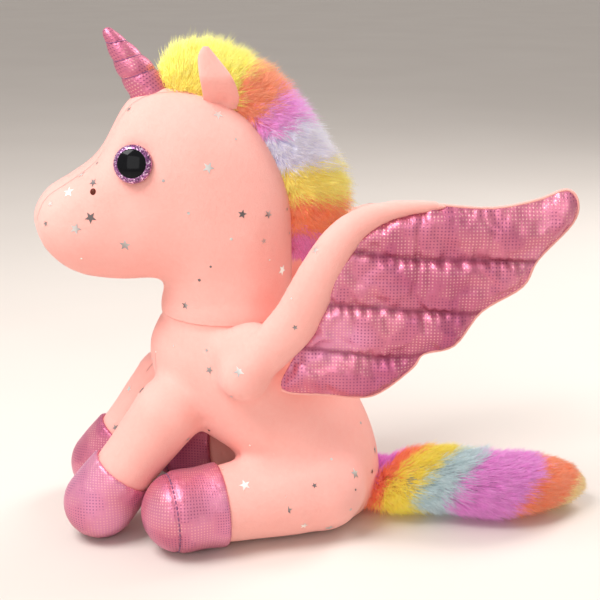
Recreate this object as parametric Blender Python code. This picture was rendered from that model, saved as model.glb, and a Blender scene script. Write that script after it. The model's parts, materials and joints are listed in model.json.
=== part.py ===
"""Sitting plush unicorn with foil wings and a rainbow mane and tail.

The toy faces -Y, its left side is +X and +Z is up. The origin is the centre of the flat
seat face, on the floor. Sizes are written in millimetres and scaled to metres as each
mesh is made. A limb ends in a ball centred on its joint, which turns in a round socket
in the torso, so each limb turns clear of its neighbours. The head turns on the flat neck
seam. Each skin is a thin shell that is open where it was sewn, and the fibre filling
inside it is a solid of its own.
"""
import math

import bmesh
import bpy
import numpy as np
from mathutils import Vector
from mathutils.bvhtree import BVHTree

MM = 0.001

# Cloth and clearances
SKIN = 1.0              # thickness of the plush cloth
GAP = 0.3               # between parts that touch on the toy
FILL = SKIN + 0.6       # how far the filling lies inside the outer surface
FOIL = 0.8              # thickness of the foil cloth
SOCKET = 0.3            # clearance of a ball joint
GUSSET_HALF = 14.0      # half width of the belly gusset
CREST_HALF = 11.0       # half width of the head gusset

# Flats round each kind of section
BODY_SIDES = 24
LIMB_SIDES = 14
ARM_SIDES = 12
EYE_SIDES = 16

# Joint centres on the left side, and on the middle of the toy
NECK = (0.0, -52.0, 124.0)
SHOULDER = (25.0, -86.0, 70.0)
HIP = (32.0, -4.0, 25.9)
WING = (47.0, -46.0, 97.0)
TAIL = (0.0, 37.0, 17.0)
SHOULDER_BALL = 20.0
HIP_BALL = 25.5
WING_BALL = 14.0
TAIL_BALL = 10.0

# Torso, from the seat up: height, centre in Y, half depth, half width
TORSO = (
    (0.0, 0.0, 26.0, 30.0),
    (8.0, -2.5, 33.5, 40.0),
    (20.0, -2.8, 37.3, 44.0),
    (40.0, -10.0, 42.0, 46.0),
    (60.0, -26.5, 51.5, 46.0),
    (80.0, -39.0, 53.0, 45.0),
    (100.0, -48.0, 48.0, 42.0),
    (114.0, -51.5, 39.5, 37.5),
    (120.0, -52.0, 35.5, 35.5),
    (123.85, -52.0, 35.5, 35.5),
)

# Head, from the neck seam to the muzzle: lower point (Y, Z), upper point (Y, Z), half width
HEAD = (
    (-87.5, 124.15, -16.5, 124.15, 35.5),
    (-87.0, 138.0, -16.0, 151.0, 35.5),
    (-92.0, 140.5, -18.5, 190.0, 37.0),
    (-100.0, 139.5, -38.0, 226.0, 37.5),
    (-108.0, 139.0, -69.0, 241.0, 36.0),
    (-117.0, 139.5, -98.0, 237.0, 31.5),
    (-127.0, 141.5, -116.6, 209.0, 28.5),
    (-138.0, 147.0, -131.0, 197.5, 26.0),
    (-147.0, 156.0, -144.0, 190.0, 20.5),
    (-151.5, 166.0, -150.5, 182.0, 10.5),
)
HEAD_SQUARENESS = 2.4   # power of the head's superellipse sections

# Front leg and hind leg: distance from the joint along the leg, radius
FRONT_HOOF_CENTRE = (26.0, -124.0, 20.1)
FRONT_LEG = ((14.0, 18.8), (30.0, 17.6), (42.0, 17.6))
FRONT_HOOF = ((42.3, 18.0), (49.0, 19.4))
FRONT_HOOF_RADIUS = 19.8
HIND_HOOF_CENTRE = (47.0, -79.5, 22.4)
HIND_LEG = ((18.0, 24.4), (38.0, 22.8), (57.0, 21.6))
HIND_HOOF = ((57.3, 21.9), (65.0, 22.2))
HIND_HOOF_RADIUS = 22.1

# Wing: the sheet stands in a near-vertical plane that opens a little to the rear
WING_PLANE_X = 51.0
WING_PLANE_Y = -32.0
WING_YAW = math.radians(5.0)
# Arm of the wing: centre (Y, Z), half width in the plane, half thickness
ARM = (
    (-39.0, 106.0, 11.6, 8.0),
    (-31.0, 114.5, 12.4, 8.6),
    (-20.5, 128.5, 11.5, 9.0),
    (-14.5, 143.0, 9.6, 8.2),
    (-8.0, 157.0, 8.4, 7.4),
    (0.0, 170.5, 7.8, 6.6),
    (10.5, 180.0, 6.3, 5.6),
    (25.0, 185.5, 4.2, 4.4),
    (42.0, 187.3, 2.2, 3.0),
)
# Outline of the foil panel, clockwise from its inner upper corner: Y, Z
PANEL = (
    (46.5, 188.0), (77.0, 186.0), (99.0, 190.0), (113.0, 195.0), (119.0, 189.0), (117.0, 178.0),
    (101.0, 159.5), (94.0, 145.5), (74.0, 132.5), (61.0, 114.5), (45.5, 110.0), (40.0, 102.5),
    (25.0, 90.0), (14.0, 86.5), (-4.0, 88.0), (-26.0, 91.5), (-13.5, 108.0), (-6.0, 123.0),
    (-2.0, 140.0), (3.5, 153.0), (10.0, 164.0), (18.0, 173.5), (27.0, 179.3), (45.0, 183.5),
)
PANEL_HALF = 5.2        # half thickness of the quilted wing
RIGHT_DROOP = math.radians(18.0)    # the right wing hangs lower than the left one

# Horn
HORN_BASE = (0.0, -93.0, 237.8)
HORN_TIP = (0.0, -111.1, 269.9)
HORN = ((4.5, 8.6), (14.0, 6.9), (24.0, 4.6), (33.0, 2.2), (36.6, 0.9))
HORN_TURNS = 3

# Face
EYE_YZ = (-98.8, 206.0)
EYE_RADIUS = 9.8
NOSTRIL_YZ = (-120.0, 191.5)
NOSTRIL_RADIUS = 1.7

# Ear: outline in the plane of the ear, from its front root round its tip: Y, Z above the root
EAR_X = 20.0
EAR_Y = -54.0
EAR_LIFT = 1.6          # of the hinge above the head
EAR = (
    (-6.5, 0.8), (-9.5, 8.0), (-10.0, 15.0), (-8.0, 22.5), (-5.5, 24.5),
    (1.0, 21.5), (7.0, 15.0), (9.0, 8.0), (7.5, 0.8),
)

# Mane: distance along the crest of the head, tip of the pile (Y, Z), half width
MANE = (
    (0.0, -83.0, 253.0, 5.0),
    (10.0, -72.0, 265.0, 11.0),
    (28.0, -48.0, 265.5, 12.5),
    (48.0, -20.0, 248.0, 14.0),
    (72.0, 4.0, 216.0, 15.0),
    (97.0, 19.0, 184.0, 15.0),
    (114.0, 13.0, 160.0, 13.0),
    (128.0, -5.0, 141.0, 7.0),
)
MANE_START = (-84.0, 240.5)
MANE_BACKING = 1.4
MANE_LIFT = 1.3         # of the backing off the crest, which is curved across
MANE_BACKING_HALF = 9.0

# Tail: distance along it, radius of the pile; and the route of its middle (X, Y)
TAIL_PILE = (
    (-6.0, 8.0), (0.0, 10.0), (9.0, 10.2), (20.0, 13.0), (34.0, 17.0), (52.0, 19.0),
    (76.0, 19.3), (98.0, 17.0), (114.0, 12.0), (124.0, 5.0),
)
TAIL_ROUTE = (
    (-3.3, 32.0), (0.0, 37.0), (8.0, 49.5), (20.0, 66.0), (30.0, 88.0), (28.0, 114.0), (14.0, 146.0),
)
TAIL_BACKING_RADIUS = 4.5
TAIL_BACKING_LENGTH = 104.0

PINK = (0.91, 0.42, 0.38)
CORAL = (0.86, 0.36, 0.32)
MAUVE = (0.42, 0.13, 0.32)
WHITE = (0.85, 0.85, 0.83)
BLACK = (0.01, 0.01, 0.012)
PURPLE = (0.28, 0.08, 0.25)
BROWN = (0.08, 0.03, 0.02)
CLEAR = (0.55, 0.5, 0.55)
YELLOW = (0.95, 0.62, 0.12)
ORANGE = (0.93, 0.3, 0.16)


def clear_scene():
    """Remove every object that the file starts with."""
    for thing in list(bpy.data.objects):
        bpy.data.objects.remove(thing, do_unlink=True)


def material(name, colour, roughness, metallic=0.0):
    """A Principled material named after its object."""
    made = bpy.data.materials.new(name)
    made.use_nodes = True
    shader = made.node_tree.nodes["Principled BSDF"]
    shader.inputs["Base Color"].default_value = (*colour, 1.0)
    shader.inputs["Roughness"].default_value = roughness
    shader.inputs["Metallic"].default_value = metallic
    return made


def empty(name, place, parent=None):
    """An empty on a joint's axis, which the moving pieces hang from."""
    made = bpy.data.objects.new(name, None)
    bpy.context.collection.objects.link(made)
    made.location = Vector(place) * MM
    if parent is not None:
        made.parent = parent
        made.location -= parent.location
    bpy.context.view_layer.update()
    return made


def add_object(name, points, faces, parent=None):
    """An object made from points in world millimetres, with its origin on its parent's."""
    origin = np.array(parent.matrix_world.translation) if parent else np.zeros(3)
    mesh = bpy.data.meshes.new(name)
    mesh.from_pydata((np.asarray(points) * MM - origin).tolist(), [], faces)
    work = bmesh.new()
    work.from_mesh(mesh)
    bmesh.ops.recalc_face_normals(work, faces=work.faces)
    work.to_mesh(mesh)
    work.free()
    made = bpy.data.objects.new(name, mesh)
    bpy.context.collection.objects.link(made)
    made.parent = parent
    return made


def piece(name, points, faces, finish, parent=None):
    """A finished part: its mesh, smooth shading and its own material."""
    made = add_object(name, points, faces, parent)
    made.data.shade_smooth()
    made.data.set_sharp_from_angle(angle=math.radians(40.0))
    made.data.materials.append(material(name, *finish))
    return made


def cutter(name, points, faces):
    """A closed shape that only cuts other shapes."""
    made = add_object(name, points, faces)
    made.hide_render = True
    made.display_type = "WIRE"
    return made


def boolean(target, tool, operation="DIFFERENCE"):
    """Cut target with tool, or keep what they share."""
    step = target.modifiers.new(tool.name, "BOOLEAN")
    step.operation = operation
    step.solver = "EXACT"
    step.object = tool


def ring(centre, across, along, half_across, half_along, count, power=2.0):
    """Points round a superellipse in the plane of two unit directions."""
    angle = np.linspace(0.0, math.tau, count, endpoint=False)
    wide = np.sign(np.cos(angle)) * np.abs(np.cos(angle)) ** (2.0 / power)
    tall = np.sign(np.sin(angle)) * np.abs(np.sin(angle)) ** (2.0 / power)
    return (np.asarray(centre, float) + np.outer(wide * half_across, across)
            + np.outer(tall * half_along, along))


def bands(rows, count, start=0):
    """Quads that join rows of count points, numbered from start."""
    quads = []
    for row in range(rows - 1):
        low = start + row * count
        quads += [[low + i, low + (i + 1) % count, low + count + (i + 1) % count, low + count + i]
                  for i in range(count)]
    return quads


def solid(rings):
    """Points and faces of a closed tube through rings, with flat ends."""
    count = len(rings[0])
    faces = bands(len(rings), count)
    faces.append(list(range(count)))
    faces.append([(len(rings) - 1) * count + i for i in range(count)])
    return np.concatenate(rings), faces


def shell(outer, inner, closed_end=False):
    """Points and faces of a tube wall, open at its start and, unless closed, at its end."""
    count = len(outer[0])
    inside = len(outer) * count
    faces = bands(len(outer), count) + bands(len(inner), count, inside)
    ends = [(0, inside)]
    outer_last = (len(outer) - 1) * count
    inner_last = inside + (len(inner) - 1) * count
    if closed_end:
        faces.append([outer_last + i for i in range(count)])
        faces.append([inner_last + i for i in range(count)])
    else:
        ends.append((outer_last, inner_last))
    for out, ins in ends:
        faces += [[out + i, out + (i + 1) % count, ins + (i + 1) % count, ins + i] for i in range(count)]
    return np.concatenate(list(outer) + list(inner)), faces


def joined(*shapes):
    """Several closed shapes as one list of points and faces."""
    points, faces, start = [], [], 0
    for some_points, some_faces in shapes:
        points.append(some_points)
        faces += [[start + i for i in face] for face in some_faces]
        start += len(some_points)
    return np.concatenate(points), faces


def box(low, high):
    """A box between two corners."""
    corners = [(x, y, z) for z in (low[2], high[2]) for x, y in
               ((low[0], low[1]), (high[0], low[1]), (high[0], high[1]), (low[0], high[1]))]
    return solid([np.array(corners[:4], float), np.array(corners[4:], float)])


def prism(outline, low_x, high_x):
    """A shape of constant (Y, Z) outline between two values of X."""
    flat = np.asarray(outline, float)
    return solid([np.column_stack((np.full(len(flat), x), flat)) for x in (low_x, high_x)])


def ball(centre, radius, segments):
    """A closed ball of rings about the X axis, with a small flat at each pole."""
    angles = np.linspace(0.0, math.pi, segments // 2 + 1)
    angles[0], angles[-1] = 0.1, math.pi - 0.1
    rings = [ring(np.asarray(centre) + (-radius * math.cos(a), 0.0, 0.0), (0, 1, 0), (0, 0, 1),
                  radius * math.sin(a), radius * math.sin(a), segments) for a in angles]
    return solid(rings)


def mirrored(point, side):
    """A point of the left side, moved to the side asked for."""
    return np.array([point[0] * side, point[1], point[2]], float)


def frame_of(direction):
    """Two unit directions square to a direction."""
    along = np.asarray(direction, float) / np.linalg.norm(direction)
    across = np.cross(along, (0.0, 0.0, 1.0) if abs(along[2]) < 0.9 else (0.0, 1.0, 0.0))
    across /= np.linalg.norm(across)
    return across, np.cross(across, along)


def turned(profile, origin, axis, count, hollow=False):
    """A shape turned about an axis from (radius, height) pairs; hollow joins end to start."""
    across, up = frame_of(axis)
    rows = [ring(np.asarray(origin) + np.asarray(axis) * height, across, up, radius, radius, count)
            for radius, height in profile]
    if not hollow:
        return solid(rows)
    points, faces = np.concatenate(rows), bands(len(rows), count)
    last = (len(rows) - 1) * count
    faces += [[last + i, last + (i + 1) % count, (i + 1) % count, i] for i in range(count)]
    return points, faces


def interpolate(points, distances):
    """Points at distances along a smooth curve through the given points, from the first."""
    given = np.asarray(points, float)
    ghost = np.vstack((2 * given[0] - given[1], given, 2 * given[-1] - given[-2]))
    fine = []
    for i in range(1, len(ghost) - 2):
        t = np.linspace(0.0, 1.0, 24, endpoint=False)[:, None]
        a, b, c, d = ghost[i - 1:i + 3]
        fine.append(0.5 * (2 * b + (c - a) * t + (2 * a - 5 * b + 4 * c - d) * t ** 2
                           + (3 * b - a - 3 * c + d) * t ** 3))
    fine = np.vstack(fine + [given[-1:]])
    length = np.concatenate(([0.0], np.cumsum(np.linalg.norm(np.diff(fine, axis=0), axis=1))))
    return np.column_stack([np.interp(distances, length, fine[:, k]) for k in range(given.shape[1])])


# Torso ------------------------------------------------------------------------------------

def torso_rings(inset):
    """Level sections of the torso, drawn in from its outer surface."""
    rings = []
    for i, (height, middle, depth, width) in enumerate(TORSO):
        floor = inset if i == 0 else 0.0
        rings.append(ring((0.0, middle, height + floor), (1, 0, 0), (0, 1, 0),
                          width - inset, depth - inset, BODY_SIDES))
    return rings


def grown(radius, segments):
    """Radius of a faceted socket whose flats still clear the ball."""
    return radius / math.cos(math.pi / segments) ** 2 + SOCKET


def leg_bay(side):
    """The space that a hind leg lies in and swings out through, square to the leg."""
    hip = mirrored(HIP, side)
    forward = mirrored(HIND_HOOF_CENTRE, side) - hip
    forward[2] = 0.0
    forward /= np.linalg.norm(forward)
    outward = np.array((-forward[1], forward[0], 0.0)) * side
    reach = HIP_BALL + SOCKET
    near, far = -outward * reach, outward * 3.0 * reach
    back, front = forward * 0.8, forward * 75.0
    base = hip * (1, 1, 0)
    corners = np.array([base + near + back, base + far + back, base + far + front, base + near + front])
    return solid([corners + (0, 0, -5.0), corners + (0, 0, HIP[2] + reach)])


def torso_cutter():
    """Sockets for the limbs, joined with the bays for the hind legs."""
    sockets = [ball(TAIL, grown(TAIL_BALL, 12), 12)]
    for side in (1, -1):
        for joint, radius, segments in ((SHOULDER, SHOULDER_BALL, 16), (HIP, HIP_BALL, 18),
                                        (WING, WING_BALL, 14)):
            sockets.append(ball(mirrored(joint, side), grown(radius, segments), segments))
    rooms = cutter("cut_leg_bays", *joined(leg_bay(1), leg_bay(-1)))
    boolean(rooms, cutter("cut_sockets", *joined(*sockets)), "UNION")
    return rooms


def half_space(name, side):
    """Everything on one side of the middle of the toy."""
    near, far = sorted((side * GAP / 2, side * 120.0))
    return cutter(name, *box((near, -200.0, -20.0), (far, 200.0, 320.0)))


def build_torso(left_half, right_half):
    """Two side panels, the belly gusset, the filling and the neck thread."""
    rooms = torso_cutter()
    outline = ((-120, 140), (-52, 140), (-35, 50), (20, 20), (20, -5), (-120, -5))
    strip = cutter("cut_belly_strip", *prism(outline, GAP / 2 - GUSSET_HALF, GUSSET_HALF - GAP / 2))
    room = cutter("cut_belly_room", *prism(outline, -GUSSET_HALF - GAP / 2, GUSSET_HALF + GAP / 2))
    skin = shell(torso_rings(0.0)[::-1], torso_rings(SKIN)[::-1], closed_end=True)
    for name, half in (("torso_side_left", left_half), ("torso_side_right", right_half)):
        side_panel = piece(name, *skin, (PINK, 0.9))
        boolean(side_panel, rooms)
        boolean(side_panel, half, "INTERSECT")
        boolean(side_panel, room)
    gusset = piece("belly_gusset", *skin, (PINK, 0.9))
    boolean(gusset, strip, "INTERSECT")
    filling = piece("torso_stuffing", *solid(torso_rings(FILL)), (WHITE, 1.0))
    boolean(gusset, rooms)
    boolean(filling, rooms)
    thread = [(36.4 + 0.45 * math.cos(a), 0.45 * math.sin(a)) for a in np.linspace(0, math.tau, 5)[:-1]]
    piece("neck_seam_thread", *turned(thread, (0.0, NECK[1], 122.0), (0, 0, 1), 24, hollow=True),
          (PINK, 0.8))


# Head -------------------------------------------------------------------------------------

def head_rings(inset):
    """Sections of the head, each from a lower to an upper point, drawn in by an inset."""
    rings = []
    for i, (low_y, low_z, high_y, high_z, width) in enumerate(HEAD):
        low, high = np.array((0.0, low_y, low_z)), np.array((0.0, high_y, high_z))
        along = high - low
        half = np.linalg.norm(along) / 2
        along /= 2 * half
        centre = (low + high) / 2
        if i == len(HEAD) - 1:
            centre = centre + (0.0, inset, 0.0)
        power = 2.0 if i == 0 else HEAD_SQUARENESS
        rings.append(ring(centre, (1, 0, 0), along, width - inset, half - inset, BODY_SIDES, power))
    return rings


def head_surface(start, heading):
    """Where a straight line meets the head: the point and the normal facing the line."""
    points, faces = solid(head_rings(0.0))
    tree = BVHTree.FromPolygons([Vector(p) for p in points], faces)
    place, normal, _, _ = tree.ray_cast(Vector(start), Vector(heading))
    outward = np.array(normal)
    return np.array(place), -outward if outward @ np.array(heading) > 0 else outward


def face_point(y, z, side):
    """A point on one side of the head and its outward normal."""
    return head_surface((side * 90.0, y, z), (-side, 0.0, 0.0))


def build_head(pivot, left_half, right_half, eye_holes, eye_pockets):
    """Two side panels, the crest gusset and the filling."""
    outline = ((-170, 172), (-60, 172), (-60, 110), (30, 110), (30, 280), (-170, 280))
    strip = cutter("cut_crest_strip", *prism(outline, GAP / 2 - CREST_HALF, CREST_HALF - GAP / 2))
    room = cutter("cut_crest_room", *prism(outline, -CREST_HALF - GAP / 2, CREST_HALF + GAP / 2))
    skin = shell(head_rings(0.0), head_rings(SKIN), closed_end=True)
    for name, half in (("head_side_left", left_half), ("head_side_right", right_half)):
        side_panel = piece(name, *skin, (PINK, 0.9), pivot)
        boolean(side_panel, half, "INTERSECT")
        boolean(side_panel, room)
        boolean(side_panel, eye_holes)
    gusset = piece("head_gusset", *skin, (PINK, 0.9), pivot)
    boolean(gusset, strip, "INTERSECT")
    filling = piece("head_stuffing", *solid(head_rings(FILL)), (WHITE, 1.0), pivot)
    boolean(filling, eye_pockets)


def eye_places():
    """Each eye's side, the middle of its seat on the head, and its outward direction."""
    return [(side, *face_point(*EYE_YZ, side)) for side in (1, -1)]


def eye_cutters():
    """Holes for the shanks in the skin, and pockets for shank and washer in the filling."""
    holes, pockets = [], []
    for _, place, outward in eye_places():
        holes.append(turned(((3.0, -7.0), (3.0, 7.0)), place, outward, 16))
        pockets.append(turned(((8.2, -13.0), (8.2, 3.0)), place, outward, 16))
    return cutter("cut_eye_holes", *joined(*holes)), cutter("cut_eye_pockets", *joined(*pockets))


def build_eye(pivot, side, place, outward):
    """A safety eye: shank and plate, iris ring, pupil, clear dome, and the washer inside."""
    end = "left" if side > 0 else "right"
    rim = EYE_RADIUS
    shank = ((2.0, -11.0), (2.2, -10.5), (2.2, 0.35), (rim - 0.2, 0.45), (rim - 0.2, 0.85))
    piece(f"eye_shank_{end}", *turned(shank, place, outward, EYE_SIDES), (WHITE, 0.5), pivot)
    iris = ((7.2, 1.2), (rim - 0.2, 1.2), (rim - 0.2, 1.7), (7.2, 1.7))
    piece(f"eye_iris_{end}", *turned(iris, place, outward, EYE_SIDES, hollow=True), (PURPLE, 0.3, 0.7), pivot)
    pupil = ((6.9, 1.2), (6.9, 1.7))
    piece(f"eye_pupil_{end}", *turned(pupil, place, outward, EYE_SIDES), (BLACK, 0.2), pivot)
    dome = [(rim * math.cos(a), 2.1 + 4.4 * math.sin(a)) for a in np.linspace(0, 1.45, 6)]
    piece(f"eye_dome_{end}", *turned(dome, place, outward, EYE_SIDES), (CLEAR, 0.05), pivot)
    washer = ((2.6, -3.6), (7.0, -3.6), (7.0, -2.5), (2.6, -2.5))
    piece(f"eye_washer_{end}", *turned(washer, place, outward, EYE_SIDES, hollow=True), (WHITE, 0.5), pivot)


def build_nostril(pivot, side):
    """A small stitched dot on the muzzle."""
    end = "left" if side > 0 else "right"
    place, outward = face_point(*NOSTRIL_YZ, side)
    dot = ((NOSTRIL_RADIUS, 0.35), (NOSTRIL_RADIUS, 0.7), (0.9, 1.3))
    piece(f"nostril_{end}", *turned(dot, place, outward, 12), (BROWN, 0.6), pivot)


def build_horn(pivot):
    """The foil horn, its filling, and the thread wound round it."""
    base, tip = np.array(HORN_BASE), np.array(HORN_TIP)
    axis = (tip - base) / np.linalg.norm(tip - base)
    across, up = frame_of(axis)

    def section(distance, radius, count=16):
        return ring(base + axis * distance, across, up, radius, radius, count)

    outer = [section(d, r) for d, r in HORN]
    inner = [section(d, r - FOIL) for d, r in HORN[:4]]
    piece("horn_foil", *shell(outer, inner, closed_end=True), (MAUVE, 0.35, 0.6), pivot)
    piece("horn_stuffing", *solid([section(d, r - FILL, 12) for d, r in HORN[:3]]), (WHITE, 1.0), pivot)
    steps = 12 * HORN_TURNS
    distances = np.linspace(HORN[0][0] + 2.5, HORN[3][0] - 0.5, steps)
    angles = np.linspace(0.0, math.tau * HORN_TURNS, steps)
    radii = np.interp(distances, [d for d, _ in HORN], [r for _, r in HORN]) + 0.8
    route = (base + np.outer(distances, axis) + np.outer(radii * np.cos(angles), across)
             + np.outer(radii * np.sin(angles), up))
    piece("horn_thread", *solid(path_rings(route, np.full(steps, 0.35), 5)), (MAUVE, 0.6), pivot)


def path_rings(route, radii, count):
    """Round sections square to a route of points."""
    heading = np.gradient(route, axis=0)
    rings = []
    for place, forward, radius in zip(route, heading, radii):
        across, up = frame_of(forward)
        rings.append(ring(place, across, up, radius, radius, count))
    return rings


def build_ear(head_pivot, side):
    """Two sewn ear panels on their own hinge."""
    end = "left" if side > 0 else "right"
    around = [head_surface((side * EAR_X, EAR_Y + y, 300.0), (0.0, 0.0, -1.0))[0][2]
              for y in (EAR[0][0], 0.0, EAR[-1][0])]
    root = (side * EAR_X, EAR_Y, max(around) + EAR_LIFT)
    pivot = empty(f"ear_{end}_pivot", root, head_pivot)
    outline = np.array(EAR) + (EAR_Y, root[2])
    for name, low, high in (("ear_outer", 0.2, 1.6), ("ear_lining", -1.6, -0.2)):
        sides = sorted((side * (EAR_X + low), side * (EAR_X + high)))
        piece(f"{name}_{end}", *prism(outline, *sides), (PINK if name == "ear_outer" else CORAL, 0.9), pivot)


def crest_line(distances):
    """Points on the crest of the head and their outward directions, from the horn back."""
    crest = [MANE_START] + [(high_y, high_z) for _, _, high_y, high_z, _ in HEAD[4:0:-1]]
    place = interpolate(crest, distances)
    ahead = place - interpolate(crest, np.asarray(distances) - 1.0)
    ahead[0] = np.subtract(crest[1], crest[0])
    outward = np.column_stack((-ahead[:, 1], ahead[:, 0]))
    outward /= np.linalg.norm(outward, axis=1)[:, None]
    return place, outward


def build_mane(pivot):
    """The knitted backing sewn along the crest, and the long pile that stands on it."""
    distances = [row[0] for row in MANE]
    place, outward = crest_line(distances)
    backing, pile = [], []
    for (y, z), (out_y, out_z), (_, tip_y, tip_z, width) in zip(place, outward, MANE):
        normal = np.array((0.0, out_y, out_z))
        root = np.array((0.0, y, z)) + normal * MANE_LIFT
        half = min(width, MANE_BACKING_HALF)
        backing.append(np.array([root + (x, 0, 0) + normal * lift for x, lift in (
            (-half, 0.0), (half, 0.0), (half, MANE_BACKING), (-half, MANE_BACKING))]))
        foot = root + normal * (MANE_BACKING + 0.6)
        tip = np.array((0.0, tip_y, tip_z))
        along = (tip - foot) / np.linalg.norm(tip - foot)
        half_length = np.linalg.norm(tip - foot) / 2
        pile.append(ring((foot + tip) / 2, (1, 0, 0), along, width, half_length, 14, 2.6))
    piece("mane_backing", *solid(backing), (ORANGE, 0.9), pivot)
    piece("mane_pile", *solid(pile), (YELLOW, 0.9), pivot)


# Legs -------------------------------------------------------------------------------------

def limb_rings(joint, heading, profile, inset, count):
    """Round sections along a straight limb from (distance, radius) pairs."""
    across, up = frame_of(heading)
    return [ring(joint + heading * d, across, up, r - inset, r - inset, count) for d, r in profile]


def root_profile(radius):
    """The middle of a limb's ball, as (distance, radius) pairs."""
    return [(part * radius, radius * math.sqrt(1.0 - part ** 2)) for part in (-0.62, -0.34, 0.0, 0.22)]


def end_profile(length, radius, inset):
    """The round end of a hoof about a centre at length along the leg.

    Each radius still holds the inset, which limb_rings takes off.
    """
    angles = np.radians((0.0, 38.0, 68.0))
    reach = radius - inset
    return [(length + reach * math.sin(a), reach * math.cos(a) + inset) for a in angles]


def build_leg(kind, side, joint, ball_radius, hoof_centre, leg, hoof, hoof_radius):
    """A leg on its joint: plush sleeve, foil hoof and one filling through both."""
    end = "left" if side > 0 else "right"
    joint, hoof_centre = mirrored(joint, side), mirrored(hoof_centre, side)
    length = np.linalg.norm(hoof_centre - joint)
    heading = (hoof_centre - joint) / length
    pivot = empty(f"{kind}_leg_{end}_pivot", joint)

    def sections(profile, inset):
        return limb_rings(joint, heading, profile, inset, LIMB_SIDES)

    root = root_profile(ball_radius)
    sleeve = root + list(leg)
    piece(f"{kind}_leg_skin_{end}", *shell(sections(sleeve, 0.0), sections(sleeve, SKIN)), (PINK, 0.9), pivot)
    outer = list(hoof) + end_profile(length, hoof_radius, 0.0)
    inner = list(hoof) + end_profile(length, hoof_radius, FOIL)
    piece(f"{kind}_hoof_{end}", *shell(sections(outer, 0.0), sections(inner, FOIL), closed_end=True),
          (MAUVE, 0.35, 0.6), pivot)
    inside = root + list(leg) + list(hoof) + end_profile(length, hoof_radius, FILL)
    piece(f"{kind}_leg_stuffing_{end}", *solid(sections(inside, FILL)), (WHITE, 1.0), pivot)


# Wings ------------------------------------------------------------------------------------

def wing_point(y, z, lift, side):
    """A point of the wing at (y, z), lifted out of the plane of the wing."""
    x = WING_PLANE_X + math.tan(WING_YAW) * (y - WING_PLANE_Y)
    return np.array((side * (x + lift * math.cos(WING_YAW)), y - lift * math.sin(WING_YAW), z))


def arm_rings(side, inset):
    """Sections of the wing's arm: the root ball, then flat ovals up the leading edge."""
    joint = mirrored(WING, side)
    centres = [wing_point(y, z, 0.0, side) for y, z, _, _ in ARM]
    first = (centres[0] - joint) / np.linalg.norm(centres[0] - joint)
    outward = wing_point(0.0, 0.0, 1.0, side) - wing_point(0.0, 0.0, 0.0, side)
    rings = []
    for distance in (-0.66 * WING_BALL, -0.3 * WING_BALL, 0.05 * WING_BALL):
        radius = math.sqrt(WING_BALL ** 2 - distance ** 2) - inset
        lateral = outward - first * (outward @ first)
        lateral /= np.linalg.norm(lateral)
        rings.append(ring(joint + first * distance, lateral, np.cross(lateral, first) * side,
                          radius, radius, ARM_SIDES))
    route = np.array([joint] + centres)
    heading = np.gradient(route, axis=0)[1:]
    for centre, forward, (_, _, width, thick) in zip(centres, heading, ARM):
        forward = forward / np.linalg.norm(forward)
        lateral = outward - forward * (outward @ forward)
        lateral /= np.linalg.norm(lateral)
        rings.append(ring(centre, lateral, np.cross(lateral, forward) * side,
                          thick - inset, width - inset, ARM_SIDES))
    return rings


def panel_outline(inset):
    """The outline of the foil panel, drawn in square to its edges."""
    flat = np.array(PANEL)
    before, after = flat - np.roll(flat, 1, axis=0), np.roll(flat, -1, axis=0) - flat
    before /= np.linalg.norm(before, axis=1)[:, None]
    after /= np.linalg.norm(after, axis=1)[:, None]
    inward = np.column_stack((before[:, 1] + after[:, 1], -before[:, 0] - after[:, 0]))
    inward /= np.linalg.norm(inward, axis=1)[:, None]
    return flat + inward * inset


def panel_rings(side, levels):
    """Rings of the wing panel from (inset, lift) pairs."""
    return [np.array([wing_point(y, z, lift, side) for y, z in panel_outline(inset)])
            for inset, lift in levels]


def build_wing(side):
    """The plush arm and its filling, and the quilted panel: foil, wadding and backing."""
    end = "left" if side > 0 else "right"
    pivot = empty(f"wing_{end}_pivot", mirrored(WING, side))
    arm_wall = shell(arm_rings(side, 0.0), arm_rings(side, SKIN)[:-1], closed_end=True)
    piece(f"wing_arm_{end}", *arm_wall, (PINK, 0.9), pivot)
    piece(f"wing_arm_stuffing_{end}", *solid(arm_rings(side, FILL)[:-2]), (WHITE, 1.0), pivot)
    half = PANEL_HALF
    outer = ((0.0, GAP / 2), (0.0, half - 2.0), (3.0, half))
    inner = ((FOIL, GAP / 2), (FOIL, half - 2.2), (3.4, half - FOIL))
    foil = shell(panel_rings(side, outer), panel_rings(side, inner), closed_end=True)
    piece(f"wing_foil_{end}", *foil, (MAUVE, 0.35, 0.6), pivot)
    under = shell(panel_rings(side, [(i, -t) for i, t in outer]),
                  panel_rings(side, [(i, -t) for i, t in inner]), closed_end=True)
    piece(f"wing_backing_{end}", *under, (PINK, 0.9), pivot)
    core = ((3.9, -half + FOIL + 0.5), (FOIL + 0.6, -half + 2.9), (FOIL + 0.6, half - 2.9),
            (3.9, half - FOIL - 0.5))
    piece(f"wing_wadding_{end}", *solid(panel_rings(side, core)), (WHITE, 1.0), pivot)
    if side < 0:
        pivot.rotation_euler.x = -RIGHT_DROOP


# Tail -------------------------------------------------------------------------------------

def tail_route(distances):
    """Points on the middle of the tail, at distances from its joint."""
    start = np.linalg.norm(np.subtract(TAIL_ROUTE[1], TAIL_ROUTE[0]))
    flat = interpolate(TAIL_ROUTE, np.asarray(distances) + start)
    radius = np.interp(distances, [d for d, _ in TAIL_PILE], [r for _, r in TAIL_PILE])
    height = np.where(np.asarray(distances) < 12.0, TAIL[2], np.maximum(radius + 0.4, 13.0))
    return np.column_stack((flat, height))


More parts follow.
